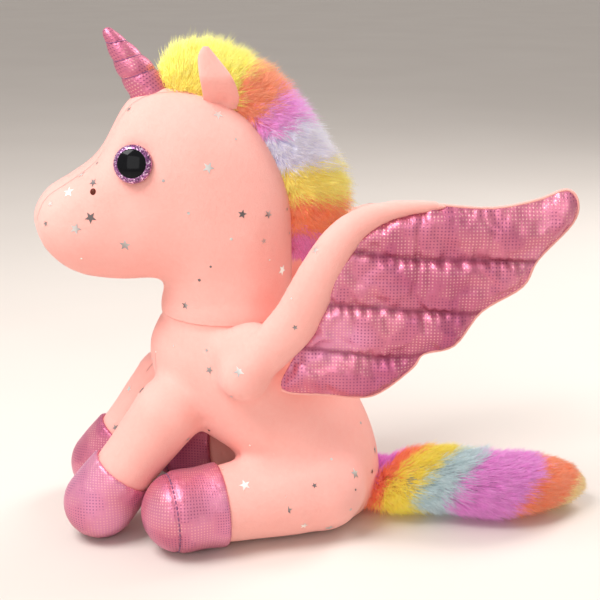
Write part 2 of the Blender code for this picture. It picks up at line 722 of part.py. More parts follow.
def build_tail():
    """The knitted core of the tail and the long pile round it."""
    pivot = empty("tail_pivot", TAIL)
    distances = [d for d, _ in TAIL_PILE]
    route = tail_route(distances)
    outer = path_rings(route, [r for _, r in TAIL_PILE], 16)
    inner = path_rings(route[:-1], np.full(len(route) - 1, TAIL_BACKING_RADIUS + 0.8), 16)
    piece("tail_pile", *shell(outer, inner, closed_end=True), (YELLOW, 0.9), pivot)
    stations = [d for d in distances if d < TAIL_BACKING_LENGTH]
    core = path_rings(route[:len(stations)], np.full(len(stations), TAIL_BACKING_RADIUS), 12)
    piece("tail_backing", *solid(core), (ORANGE, 0.9), pivot)


def main():
    """Build the whole toy."""
    clear_scene()
    left_half, right_half = half_space("cut_left_half", 1), half_space("cut_right_half", -1)
    build_torso(left_half, right_half)
    head_pivot = empty("head_pivot", NECK)
    build_head(head_pivot, left_half, right_half, *eye_cutters())
    for side, place, outward in eye_places():
        build_eye(head_pivot, side, place, outward)
    build_horn(head_pivot)
    build_mane(head_pivot)
    for side in (1, -1):
        build_nostril(head_pivot, side)
        build_ear(head_pivot, side)
        build_leg("front", side, SHOULDER, SHOULDER_BALL, FRONT_HOOF_CENTRE, FRONT_LEG, FRONT_HOOF,
                  FRONT_HOOF_RADIUS)
        build_leg("hind", side, HIP, HIP_BALL, HIND_HOOF_CENTRE, HIND_LEG, HIND_HOOF, HIND_HOOF_RADIUS)
        build_wing(side)
    build_tail()


main()
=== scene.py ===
import json
import math

import bmesh
import bpy
import numpy as np
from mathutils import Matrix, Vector
from mathutils.bvhtree import BVHTree


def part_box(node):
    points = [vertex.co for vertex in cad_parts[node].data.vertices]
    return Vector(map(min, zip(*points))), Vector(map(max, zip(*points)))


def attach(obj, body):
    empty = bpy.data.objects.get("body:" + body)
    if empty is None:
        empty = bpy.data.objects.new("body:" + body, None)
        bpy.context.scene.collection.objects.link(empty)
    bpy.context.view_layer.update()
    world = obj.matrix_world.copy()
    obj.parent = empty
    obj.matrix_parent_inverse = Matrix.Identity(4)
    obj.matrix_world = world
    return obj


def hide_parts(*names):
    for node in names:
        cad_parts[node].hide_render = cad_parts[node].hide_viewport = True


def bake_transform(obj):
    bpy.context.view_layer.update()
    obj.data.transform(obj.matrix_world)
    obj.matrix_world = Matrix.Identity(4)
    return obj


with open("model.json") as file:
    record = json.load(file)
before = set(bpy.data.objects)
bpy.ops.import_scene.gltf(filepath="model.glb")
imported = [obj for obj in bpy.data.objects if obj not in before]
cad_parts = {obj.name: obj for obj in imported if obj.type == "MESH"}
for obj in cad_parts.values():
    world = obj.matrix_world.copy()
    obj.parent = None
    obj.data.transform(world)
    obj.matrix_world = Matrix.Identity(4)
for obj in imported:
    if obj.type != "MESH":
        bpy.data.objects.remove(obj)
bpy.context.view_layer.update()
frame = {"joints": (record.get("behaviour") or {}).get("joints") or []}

MM = 0.001
TAU = math.tau
SEED = 7

# Joint centres in millimetres, from the record
JOINTS = {j["name"]: np.array(j["pos_m"]) / MM for j in frame["joints"]}
NECK = JOINTS["head_turn"]
SHOULDER = JOINTS["front_leg_left_swing"]
HIP = JOINTS["hind_leg_left_splay"]
WING = JOINTS["wing_left_flap"]

# Torso, from the seat up: height, centre in Y, half depth, half width
TORSO = (
    (0.0, 0.0, 26.0, 30.0), (8.0, -2.5, 33.5, 40.0), (20.0, -2.8, 37.3, 44.0), (40.0, -10.0, 42.0, 46.0),
    (60.0, -26.5, 51.5, 46.0), (80.0, -39.0, 53.0, 45.0), (100.0, -48.0, 48.0, 42.0),
    (114.0, -51.5, 39.5, 37.5), (120.0, -52.0, 35.4, 35.4), (126.0, -52.0, 34.9, 34.9),
    (132.0, -52.0, 34.5, 34.5),
)
# Head, from the neck seam to the muzzle: lower point (Y, Z), upper point (Y, Z), half width, power
HEAD = (
    (-87.6, 120.6, -16.4, 120.6, 35.6, 2.0), (-87.6, 125.0, -16.4, 125.0, 35.7, 2.0),
    (-87.0, 138.0, -16.0, 151.0, 35.5, 2.4),
    (-92.0, 140.5, -18.5, 190.0, 37.0, 2.4), (-100.0, 139.5, -38.0, 226.0, 37.5, 2.4),
    (-108.0, 139.0, -69.0, 241.0, 36.0, 2.4), (-117.0, 139.5, -98.0, 237.0, 31.5, 2.4),
    (-127.0, 141.5, -116.6, 209.0, 28.5, 2.4), (-138.0, 147.0, -131.0, 197.5, 26.0, 2.4),
    (-147.0, 156.0, -144.0, 190.0, 20.5, 2.2), (-151.5, 166.0, -150.5, 182.0, 10.5, 2.0),
    (-153.0, 171.5, -152.8, 176.5, 4.0, 2.0),
)
CREST_HALF = 11.0
BELLY_HALF = 14.0

# Legs: centre of the hoof, then (distance from the joint, radius) pairs
FRONT_HOOF_CENTRE = np.array((26.0, -124.0, 20.1))
FRONT_BALL = 20.0
FRONT_LEG = ((14.0, 18.8), (30.0, 17.6), (42.0, 17.4), (50.0, 16.2), (56.0, 12.0))
FRONT_HOOF_RADIUS = 19.8
HIND_HOOF_CENTRE = np.array((47.0, -79.5, 22.4))
HIND_BALL = 25.5
HIND_LEG = ((18.0, 24.4), (38.0, 22.8), (57.0, 21.4), (66.0, 19.8), (73.0, 14.0))
HIND_HOOF_RADIUS = 22.1

# Wing: plane that opens a little to the rear, arm sections, panel outline and quilting
WING_PLANE = (51.0, -32.0)
WING_YAW = math.radians(5.0)
RIGHT_DROOP = math.radians(18.0)
ARM = (
    (-39.0, 106.0, 11.6, 8.0), (-31.0, 114.5, 12.6, 8.6), (-19.5, 128.0, 13.0, 9.0),
    (-12.5, 142.5, 11.8, 8.7),
    (-5.8, 156.0, 10.8, 8.2), (2.2, 169.0, 9.7, 7.5), (12.0, 178.6, 7.8, 6.4), (26.0, 184.6, 5.4, 5.2),
    (44.0, 187.0, 3.4, 3.8), (55.0, 187.0, 2.2, 2.4),
)
PANEL = (
    (46.5, 188.0), (77.0, 186.0), (99.0, 190.0), (113.0, 195.0), (119.0, 189.0), (117.0, 178.0),
    (101.0, 159.5), (94.0, 145.5), (74.0, 132.5), (61.0, 114.5), (45.5, 110.0), (40.0, 102.5),
    (25.0, 90.0), (14.0, 86.5), (-4.0, 88.0), (-27.0, 91.0), (-21.0, 108.0), (-13.0, 125.0),
    (-8.5, 141.0), (-3.0, 154.5), (4.5, 166.5), (14.0, 176.0), (26.0, 181.5), (43.0, 185.5),
)
QUILTING = (
    ((-4.0, 167.0), (6.0, 166.0), (19.0, 163.0), (42.0, 160.0), (64.0, 160.0), (104.0, 159.0)),
    ((-14.0, 138.0), (-4.0, 137.0), (24.0, 135.0), (49.0, 133.0), (76.0, 132.0)),
    ((-24.0, 115.0), (-15.0, 114.0), (9.0, 111.0), (26.0, 109.0), (46.0, 110.0)),
)
WING_FOLD = ((43.0, 186.0), (41.0, 171.0), (42.0, 158.0), (39.0, 144.0), (44.0, 132.0), (45.0, 125.0))
PUFF = 6.4
PIPING = 0.75       # radius of the plush edge round the panel

# Horn: base, tip, and (distance along it, radius) pairs
HORN_BASE = np.array((0.0, -93.0, 237.8))
HORN_TIP = np.array((0.0, -111.1, 269.9))
HORN = (
    (-5.0, 10.4), (0.0, 10.2), (4.5, 9.8), (14.0, 8.4), (24.0, 6.1), (33.0, 3.3), (36.0, 1.8), (36.8, 0.5),
)
HORN_LEAN = np.array((0.0, 3.0, 1.0))     # how far the horn's root sits behind its line
HORN_TURNS = 3

# Ear: height above its root, front edge and rear edge in Y, half thickness
EAR = (
    (-2.0, -7.5, 8.2, 2.0), (1.5, -8.6, 9.2, 2.6), (5.0, -9.0, 9.2, 2.7), (10.7, -9.8, 7.6, 2.5),
    (16.7, -10.8, 4.6, 2.3), (23.5, -11.2, -0.6, 1.9), (27.5, -10.2, -3.8, 1.4), (30.0, -8.4, -5.8, 0.7),
)

# Mane: distance along the crest, tip of the pile (Y, Z), half width
MANE = (
    (0.0, -83.0, 253.0, 5.0), (10.0, -72.0, 265.0, 11.0), (28.0, -48.0, 265.5, 12.5),
    (48.0, -20.0, 248.0, 14.0),
    (72.0, 4.0, 216.0, 15.0), (97.0, 19.0, 184.0, 15.0), (114.0, 13.0, 160.0, 13.0),
    (128.0, -5.0, 141.0, 7.0),
)
MANE_START = (-84.0, 240.5)
# Tail: distance along it, radius of the pile; and the route of its middle (X, Y)
TAIL_PILE = (
    (-16.0, 14.0), (-6.0, 15.0), (0.0, 15.5), (8.0, 16.5), (18.0, 18.5), (34.0, 21.0), (56.0, 21.5),
    (78.0, 20.5), (98.0, 17.5), (114.0, 13.0), (124.0, 7.0),
)
TAIL_ROUTE = (
    (-3.3, 32.0), (0.0, 37.0), (8.0, 49.5), (20.0, 66.0), (30.0, 88.0), (28.0, 114.0), (14.0, 146.0),
)


def hue(red, green, blue):
    """Linear colour from display values out of 255."""
    part = np.array((red, green, blue)) / 255.0
    return tuple(np.where(part <= 0.04045, part / 12.92, ((part + 0.055) / 1.055) ** 2.4))


# Dyes of the pile, with the distance at which each band of fur starts
MANE_BANDS = (
    ("yellow", 0.5, hue(255, 205, 30), hue(255, 248, 110)),
    ("orange", 36.0, hue(255, 80, 40), hue(255, 160, 110)),
    ("magenta", 50.0, hue(240, 70, 150), hue(250, 170, 240)),
    ("lilac", 61.0, hue(175, 165, 230), hue(245, 242, 250)),
    ("gold", 81.0, hue(255, 200, 30), hue(255, 240, 110)),
    ("coral", 98.0, hue(255, 85, 40), hue(255, 150, 85)),
    ("plum", 114.0, hue(225, 60, 130), hue(240, 130, 200)),
)
TAIL_BANDS = (
    ("plum", -18.0, hue(205, 70, 190), hue(245, 130, 225)),
    ("orange", -3.0, hue(255, 75, 30), hue(255, 125, 60)),
    ("yellow", 9.0, hue(255, 205, 20), hue(255, 232, 60)),
    ("ice", 27.0, hue(165, 190, 195), hue(205, 225, 228)),
    ("pink", 44.0, hue(185, 75, 170), hue(245, 145, 225)),
    ("coral", 76.0, hue(250, 75, 35), hue(255, 140, 80)),
    ("peach", 102.0, hue(250, 160, 70), hue(255, 222, 150)),
)
TAIL_SLANT = (8.0, 5.0)       # how far the bands lag on the top and lead on the left


# Curves and meshes ------------------------------------------------------------------------

def flow(rows, steps):
    """Rows joined by Catmull-Rom curves: each span is the cubic through its two rows with the
    slopes of the chords beside them."""
    given = np.array(rows, float)
    ghost = np.vstack((2 * given[0] - given[1], given, 2 * given[-1] - given[-2]))
    a, b, c, d = (ghost[i:len(ghost) - 3 + i, None] for i in range(4))
    t = np.linspace(0.0, 1.0, steps, endpoint=False)[None, :, None]
    square = 2 * a - 5 * b + 4 * c - d
    cube = 3 * b - a - 3 * c + d
    curve = 0.5 * (2 * b + (c - a) * t + square * t ** 2 + cube * t ** 3)
    return np.vstack((curve.reshape(-1, given.shape[1]), given[-1:]))


def unit(vectors):
    """Vectors divided by their lengths."""
    return vectors / np.linalg.norm(vectors, axis=-1, keepdims=True)


def along(curve, distances):
    """Points of a polyline at distances measured along it from its first point."""
    length = np.concatenate(([0.0], np.cumsum(np.linalg.norm(np.diff(curve, axis=0), axis=1))))
    return np.stack([np.interp(distances, length, curve[:, k]) for k in range(curve.shape[1])], -1)


def smoothstep(low, high, x):
    """0 below low, 1 above high, and 3t^2 - 2t^3 between."""
    t = np.clip((x - low) / (high - low), 0.0, 1.0)
    return t * t * (3.0 - 2.0 * t)


def ovals(centre, across, upward, half_across, half_up, count, power=2.0):
    """A stack of superellipses: centre + half_across |cos|^(2/p) across + half_up |sin|^(2/p) upward."""
    angle = np.linspace(0.0, TAU, count, endpoint=False)
    power = 2.0 / np.broadcast_to(power, len(centre))[:, None]
    wide = np.sign(np.cos(angle)) * np.abs(np.cos(angle)) ** power
    tall = np.sign(np.sin(angle)) * np.abs(np.sin(angle)) ** power
    wide = wide * np.broadcast_to(half_across, len(centre))[:, None]
    tall = tall * np.broadcast_to(half_up, len(centre))[:, None]
    across = np.broadcast_to(across, centre.shape)
    upward = np.broadcast_to(upward, centre.shape)
    return centre[:, None] + wide[..., None] * across[:, None] + tall[..., None] * upward[:, None]


def tube(rings):
    """Points, quads and end fans of a closed stack of rings."""
    rows, count, _ = rings.shape
    points = np.vstack((rings.reshape(-1, 3), rings[0].mean(0), rings[-1].mean(0)))
    i = np.arange(count)
    j = (i + 1) % count
    row = np.arange(rows - 1)[:, None] * count
    quads = np.stack((row + i, row + j, row + count + j, row + count + i), -1).reshape(-1, 4)
    last = (rows - 1) * count
    first_fan = np.stack((j, i, np.full(count, rows * count)), -1)
    last_fan = np.stack((last + i, last + j, np.full(count, rows * count + 1)), -1)
    return points, quads, np.vstack((first_fan, last_fan))


def make(name, points, *faces):
    """An object from points in millimetres and arrays of equal-sided faces."""
    mesh = bpy.data.meshes.new(name)
    corners = np.concatenate([f.ravel() for f in faces]).astype(np.int32)
    sizes = np.concatenate([np.full(len(f), f.shape[1]) for f in faces])
    starts = np.concatenate(([0], np.cumsum(sizes)[:-1])).astype(np.int32)
    mesh.vertices.add(len(points))
    mesh.vertices.foreach_set("co", (points * MM).astype(np.float32).ravel())
    mesh.loops.add(len(corners))
    mesh.loops.foreach_set("vertex_index", corners)
    mesh.polygons.add(len(sizes))
    mesh.polygons.foreach_set("loop_start", starts)
    mesh.update(calc_edges=True)
    mesh.shade_smooth()
    made = bpy.data.objects.new(name, mesh)
    bpy.context.collection.objects.link(made)
    return made


def outward(obj):
    """Faces turned to point out of a closed shape."""
    work = bmesh.new()
    work.from_mesh(obj.data)
    bmesh.ops.recalc_face_normals(work, faces=work.faces)
    work.to_mesh(obj.data)
    work.free()
    return obj


def points_of(mesh):
    """Vertex places in millimetres, and vertex normals."""
    places = np.empty(len(mesh.vertices) * 3, np.float32)
    mesh.vertices.foreach_get("co", places)
    normals = np.empty(len(mesh.vertices) * 3, np.float32)
    mesh.vertex_normals.foreach_get("vector", normals)
    return places.reshape(-1, 3).astype(float) / MM, normals.reshape(-1, 3).astype(float)


def move_points(mesh, points):
    """Vertices set to points in millimetres."""
    mesh.vertices.foreach_set("co", (points * MM).astype(np.float32).ravel())
    mesh.update()


def tag(obj, name, values):
    """A vector or colour stored on each point."""
    colour = values.shape[1] == 4
    layer = obj.data.attributes.new(name, "FLOAT_COLOR" if colour else "FLOAT_VECTOR", "POINT")
    layer.data.foreach_set("color" if colour else "vector", values.astype(np.float32).ravel())


def settle(obj, *steps):
    """The object with modifiers of (type, settings) worked in one after the other."""
    for kind, settings in steps:
        step = obj.modifiers.new(kind, kind)
        for key, value in settings.items():
            setattr(step, key, value)
    graph = bpy.context.evaluated_depsgraph_get()
    mesh = bpy.data.meshes.new_from_object(obj.evaluated_get(graph))
    old = obj.data
    obj.modifiers.clear()
    obj.data = mesh
    bpy.data.meshes.remove(old)
    mesh.shade_smooth()
    return obj


def inflate(obj, pinned, cap, pressure=4.0, grow=0.0, bending=0.5):
    """Cloth under air pressure with its seams held: twenty steps, each point's move limited to cap."""
    start, _ = points_of(obj.data)
    group = obj.vertex_groups.new(name="seams")
    group.add(np.flatnonzero(pinned).tolist(), 1.0, "REPLACE")
    cloth = obj.modifiers.new("cloth", "CLOTH")
    cloth.settings.quality = 6
    cloth.settings.use_pressure = True
    cloth.settings.uniform_pressure_force = pressure
    cloth.settings.effector_weights.gravity = 0.0
    cloth.settings.vertex_group_mass = "seams"
    cloth.settings.shrink_min = -grow
    cloth.settings.bending_stiffness = bending
    cloth.point_cache.frame_start = 1
    cloth.point_cache.frame_end = 20
    for step in range(1, 21):
        bpy.context.scene.frame_set(step)
    graph = bpy.context.evaluated_depsgraph_get()
    swollen = bpy.data.meshes.new_from_object(obj.evaluated_get(graph))
    end, _ = points_of(swollen)
    obj.modifiers.clear()
    obj.vertex_groups.clear()
    bpy.data.meshes.remove(swollen)
    bpy.context.scene.frame_set(1)
    move = end - start
    length = np.linalg.norm(move, axis=1, keepdims=True)
    move_points(obj.data, start + move * np.minimum(1.0, cap / np.maximum(length, 1e-6)))
    return obj


def padded_form(name, shapes, voxel, smooth, relax=None):
    """Closed shapes run together into one even mesh, then relaxed by a share that relax gives per point."""
    points, faces, start = [], [[], []], 0
    for some_points, quads, fans in shapes:
        points.append(some_points)
        faces[0].append(quads + start)
        faces[1].append(fans + start)
        start += len(some_points)
    made = outward(make(name, np.vstack(points), np.vstack(faces[0]), np.vstack(faces[1])))
    settle(made, ("REMESH", {"mode": "VOXEL", "voxel_size": voxel * MM}))
    step = {"factor": 0.5, "iterations": smooth}
    if relax is not None:
        group = made.vertex_groups.new(name="relax")
        share = np.round(relax(points_of(made.data)[0]), 1)
        for level in np.unique(share):
            group.add(np.flatnonzero(share == level).tolist(), float(level), "REPLACE")
        step["vertex_group"] = "relax"
    settle(made, ("SMOOTH", step))
    made.vertex_groups.clear()
    return made


def quads_of(mesh):
    """Corner numbers of a mesh whose faces are all quads."""
    corners = np.empty(len(mesh.loops), np.int32)
    mesh.loops.foreach_get("vertex_index", corners)
    return corners.reshape(-1, 4)


def to_polyline(points, line):
    """Shortest distance of 2-D points to a polyline: to each segment at its clipped foot."""
    line = np.asarray(line, float)
    a, b = line[:-1], line[1:]
    step = b - a
    part = np.einsum("psk,sk->ps", points[:, None] - a, step) / (step ** 2).sum(1)
    foot = a + np.clip(part, 0.0, 1.0)[..., None] * step
    return np.linalg.norm(points[:, None] - foot, axis=2).min(1)


# Finishes ---------------------------------------------------------------------------------

class Value:
    """A shader socket that arithmetic adds Math nodes to."""

    def __init__(self, finish, socket):
        self.finish = finish
        self.socket = socket

    def math(self, operation, *others):
        step = self.finish.node("ShaderNodeMath", {"operation": operation}, dict(enumerate((self, *others))))
        return Value(self.finish, step.outputs[0])

    def __add__(self, other):
        return self.math("ADD", other)

    def __mul__(self, other):
        return self.math("MULTIPLY", other)

    def __sub__(self, other):
        return self.math("SUBTRACT", other)

    def __rsub__(self, other):
        return self.math("MULTIPLY", -1.0).math("ADD", other)

    def __truediv__(self, other):
        return self.math("DIVIDE", other)

    def __gt__(self, other):
        return self.math("GREATER_THAN", other)

    def __lt__(self, other):
        return self.math("LESS_THAN", other)

    __radd__ = __add__
    __rmul__ = __mul__

    def fade(self, low, high):
        """1 at low and below, 0 at high and above, smooth between."""
        step = self.finish.node("ShaderNodeMapRange", {"interpolation_type": "SMOOTHSTEP"},
                                {0: self, 1: low, 2: high, 3: 1.0, 4: 0.0})
        return Value(self.finish, step.outputs[0])


class Finish:
    """A material and the nodes that feed its Principled shader."""

    def __init__(self, name, **constants):
        self.material = bpy.data.materials.new(name)
        self.material.use_nodes = True
        self.tree = self.material.node_tree
        self.shader = self.tree.nodes["Principled BSDF"]
        for key, value in constants.items():
            self.feed(self.shader.inputs[key.replace("_", " ")], value)

    def feed(self, socket, value):
        """Link a value to a socket, or set the socket to it."""
        if isinstance(value, Value):
            value = value.socket
        if isinstance(value, bpy.types.NodeSocket):
            self.tree.links.new(value, socket)
        elif isinstance(value, (tuple, list, np.ndarray)):
            size = len(socket.default_value)
            socket.default_value = (*[float(v) for v in value][:size], *([1.0] * (size - len(value))))
        else:
            socket.default_value = value

    def node(self, kind, settings, sockets):
        """A node of a kind, its settings made first and its sockets fed after."""
        made = self.tree.nodes.new(kind)
        for key, value in settings.items():
            if key == "stops":
                ramp = made.color_ramp
                for place, colour in value[2:]:
                    ramp.elements.new(place)
                for element, (place, colour) in zip(ramp.elements, value):
                    element.position = place
                    element.color = (*colour, 1.0)
            else:
                setattr(made, key, value)
        for key, value in sockets.items():
            self.feed(made.inputs[key], value)
        return made

    def place(self):
        """Object coordinates, in metres."""
        return self.node("ShaderNodeTexCoord", {}, {}).outputs["Object"]

    def parts(self, vector):
        """The three numbers of a vector."""
        split = self.node("ShaderNodeSeparateXYZ", {}, {0: vector})
        return [Value(self, out) for out in split.outputs]

    def noise(self, vector, scale, detail=2.0, roughness=0.5):
        """Soft noise between 0 and 1 with a cell about 1 / scale metres wide."""
        made = self.node("ShaderNodeTexNoise", {}, {"Vector": vector, "Scale": scale, "Detail": detail,
                                                    "Roughness": roughness})
        return Value(self, made.outputs["Fac"])

    def mix(self, part, first, second):
        """Colour between first and second."""
        made = self.node("ShaderNodeMix", {"data_type": "RGBA"}, {0: part, 6: first, 7: second})
        return made.outputs[2]

    def ramp(self, part, *stops):
        """Colour from stops of (place, colour)."""
        return self.node("ShaderNodeValToRGB", {"stops": stops}, {0: part}).outputs[0]

    def bump(self, height, distance, strength=1.0, below=None):
        """A normal raised by height times distance in metres."""
        values = {"Height": height, "Distance": distance, "Strength": strength}
        if below is not None:
            values["Normal"] = below
        return self.node("ShaderNodeBump", {}, values).outputs[0]

    def end(self, **links):
        """Feed the shader's sockets, and give the material."""
        for key, value in links.items():
            self.feed(self.shader.inputs[key.replace("_", " ")], value)
        return self.material


def plush(name, light, deep, seams=None):
    """Short brushed plush: mottled by the lie of the nap, with a fine fuzz and optional seam lines in painted
    shade.
    """
    finish = Finish(name, Roughness=0.85, Sheen_Weight=0.35, Sheen_Roughness=0.45,
                    Sheen_Tint=hue(255, 225, 220), Specular_IOR_Level=0.15)
    place = finish.place()
    nap = finish.noise(place, 38.0, 3.0)
    tuft = finish.noise(place, 420.0, 3.0, 0.6)
    fuzz = finish.noise(place, 2600.0, 2.0, 0.7)
    colour = finish.mix(nap * 0.5 + tuft * 0.28 + fuzz * 0.22, deep, light)
    normal = finish.bump(fuzz, 0.0004, 0.5)
    normal = finish.bump(tuft, 0.0006, 0.35, normal)
    if seams is not None:
        x, y, z = finish.parts(place)
        line = seams(x.math("ABSOLUTE"), y, z)
        # painted shade in the seam grooves: the colour darkens towards 0.55 of the deep pink along each seam
        # line
        colour = finish.mix(line * 0.45, colour, tuple(0.55 * c for c in deep))
        normal = finish.bump(1.0 - line, 0.0006, 0.8, normal)
    return finish.end(Base_Color=colour, Normal=normal)


def head_seams(x, y, z):
    """Lines where the crest strip is sewn to the sides of the head."""
    line = (x - CREST_HALF * MM).math("ABSOLUTE").fade(0.0001, 0.0006)
    return line * ((z > 0.174).math("MAXIMUM", y > -0.06))


def belly_seams(x, y, z):
    """Lines where the belly gusset is sewn to the sides."""
    line = (x - BELLY_HALF * MM).math("ABSOLUTE").fade(0.0001, 0.0006)
    return line * (y < -0.036) * (z < 0.1)


def foil(name, base, dark):
    """Laminated foil cloth: satin metal with a grid of tiny dots, some carrying a painted glint and some
    painted shade in noise patches, and painted shade along its seams."""
    finish = Finish(name, Coat_Roughness=0.25)
    weave = finish.node("ShaderNodeAttribute", {"attribute_name": "weave"}, {}).outputs["Vector"]
    place = finish.place()
    # closeness to a quilting seam, which feeds the painted shade along the seams below
    sewn = finish.parts(weave)[2]
    scaled = finish.node("ShaderNodeVectorMath", {"operation": "SCALE"}, {0: weave, "Scale": 1.0 / 0.00175})
    cell = finish.node("ShaderNodeVectorMath", {"operation": "FRACTION"}, {0: scaled.outputs[0]})
    centred = finish.node("ShaderNodeVectorMath", {"operation": "SUBTRACT"},
                          {0: cell.outputs[0], 1: (0.5, 0.5, 0.0)})
    flat = finish.node("ShaderNodeVectorMath", {"operation": "MULTIPLY"},
                       {0: centred.outputs[0], 1: (1.0, 1.0, 0.0)})
    radius = Value(finish, finish.node("ShaderNodeVectorMath", {"operation": "LENGTH"},
                                       {0: flat.outputs[0]}).outputs["Value"])
    dot = radius.fade(0.16, 0.3)
    patch = finish.noise(place, 48.0, 2.0, 0.5)
    cloud = finish.noise(place, 22.0, 2.0)
    # painted glints and painted shade on the dots: in some noise patches the dots turn pale as if catching
    # light, in others dark as if unlit
    painted_glint_dots = (1.0 - patch.fade(0.46, 0.54)) * dot
    painted_shade_dots = patch.fade(0.42, 0.5) * dot
    ground = finish.ramp(cloud, (0.3, dark), (0.5, base), (0.7, hue(222, 142, 176)))
    # painted shade on the dark dots, then painted glints on the pale dots
    colour = finish.mix(painted_shade_dots * 0.6, ground, hue(112, 40, 104))
    colour = finish.mix(painted_glint_dots * 0.5, colour, hue(255, 205, 190))
    # painted shade along the seams: the foil darkens to a deep wine colour where the quilting is sewn down
    colour = finish.mix(sewn * 0.75, colour, hue(128, 34, 70))
    crinkle = finish.noise(place, 330.0, 3.0, 0.65)
    normal = finish.bump(dot, 0.00012, 0.5)
    normal = finish.bump(crinkle, 0.0009, 0.4, normal)
    return finish.end(Base_Color=colour, Metallic=0.5 + 0.2 * dot, Roughness=0.33 + 0.14 * crinkle,
                      Normal=normal)


def pile(name):
    """Long dyed pile: each hair carries its own dye, lighter at the tip, with a faint painted glow of that
    colour.
    """
    # the emission here is painted light: a faint glow in the hair's own colour stands in for light scattered
    # through the fur
    finish = Finish(name, Sheen_Weight=0.15, Sheen_Roughness=0.4, Specular_IOR_Level=0.25,
                    Emission_Strength=0.16)
    dye = finish.node("ShaderNodeAttribute", {"attribute_name": "dye"}, {}).outputs["Color"]
    streak = finish.noise(finish.place(), 300.0, 2.0)
    colour = finish.mix(streak * 0.2, dye, hue(255, 245, 240))
    # the glow takes the hair colour: painted light
    return finish.end(Base_Color=colour, Emission_Color=colour, Roughness=0.5 + 0.2 * streak)


def silver(name):
    """Hot-stamped silver film, worn unevenly."""
    finish = Finish(name)
    worn = finish.noise(finish.place(), 900.0, 2.0)
    patch = finish.noise(finish.place(), 55.0, 1.0)
    colour = finish.ramp(patch, (0.38, hue(120, 112, 112)), (0.5, hue(205, 198, 196)),
                         (0.6, hue(250, 246, 240)))
    return finish.end(Base_Color=colour, Metallic=0.9 - 0.3 * worn, Roughness=0.22 + 0.3 * worn)


def thread(name, colour):
    """Twisted sewing thread."""
    finish = Finish(name, Sheen_Weight=0.3)
    twist = finish.noise(finish.place(), 1800.0, 1.0)
    deep = tuple(0.5 * c for c in colour)
    return finish.end(Base_Color=finish.mix(twist, deep, colour), Roughness=0.55 + 0.25 * twist,
                      Normal=finish.bump(twist, 0.0002, 0.6))


def glitter(name):
    """Purple glitter film under clear plastic: each flake takes its own tone."""
    finish = Finish(name, Coat_Weight=1.0, Coat_Roughness=0.03, Roughness=0.35)
    flakes = finish.node("ShaderNodeTexVoronoi", {}, {"Vector": finish.place(), "Scale": 1500.0})
    tone = finish.parts(flakes.outputs["Color"])[0]
    colour = finish.ramp(tone, (0.0, hue(70, 25, 70)), (0.55, hue(150, 80, 145)), (0.82, hue(200, 130, 190)),
                         (0.95, hue(255, 225, 250)))
    return finish.end(Base_Color=colour, Metallic=0.5 + 0.3 * tone)


def gloss(name, colour):
    """Moulded plastic with a polished face and a breath of haze."""
    finish = Finish(name, Coat_Weight=0.12, Coat_Roughness=0.02, Specular_IOR_Level=0.08)
    haze = finish.noise(finish.place(), 160.0, 2.0)
    return finish.end(Base_Color=finish.mix(haze * 0.4, colour, tuple(1.6 * c + 0.004 for c in colour)),
                      Roughness=0.08 + 0.08 * haze)


PINK_LIGHT = hue(252, 197, 187)
PINK_DEEP = hue(247, 160, 148)
PLUSH = plush("plush_pink", PINK_LIGHT, PINK_DEEP)
HEAD_PLUSH = plush("plush_head", PINK_LIGHT, PINK_DEEP, head_seams)
BELLY_PLUSH = plush("plush_body", PINK_LIGHT, PINK_DEEP, belly_seams)
LINING = plush("ear_lining", hue(250, 160, 148), hue(238, 130, 120))
FOIL = foil("mauve_foil", hue(206, 118, 142), hue(182, 88, 124))
PILE = pile("dyed_pile_painted_glow")
SILVER = silver("silver_print")
MAUVE_THREAD = thread("mauve_thread", hue(150, 80, 130))
PINK_THREAD = thread("pink_thread", hue(235, 150, 140))
GLITTER = glitter("eye_glitter_ring")
EYE_BLACK = gloss("eye_black_plastic", (0.004, 0.004, 0.005))
NOSTRIL_BROWN = gloss("nostril_brown", hue(88, 40, 30))


def finish_piece(obj, material, body=None, nodes=()):
    """Give a piece its material, its body and the CAD nodes that it stands for."""
    obj.data.materials.clear()
    obj.data.materials.append(material)
    if body is not None:
        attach(obj, body)
    if nodes:
        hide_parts(*nodes)
    return obj


# Camera, light and floor ------------------------------------------------------------------

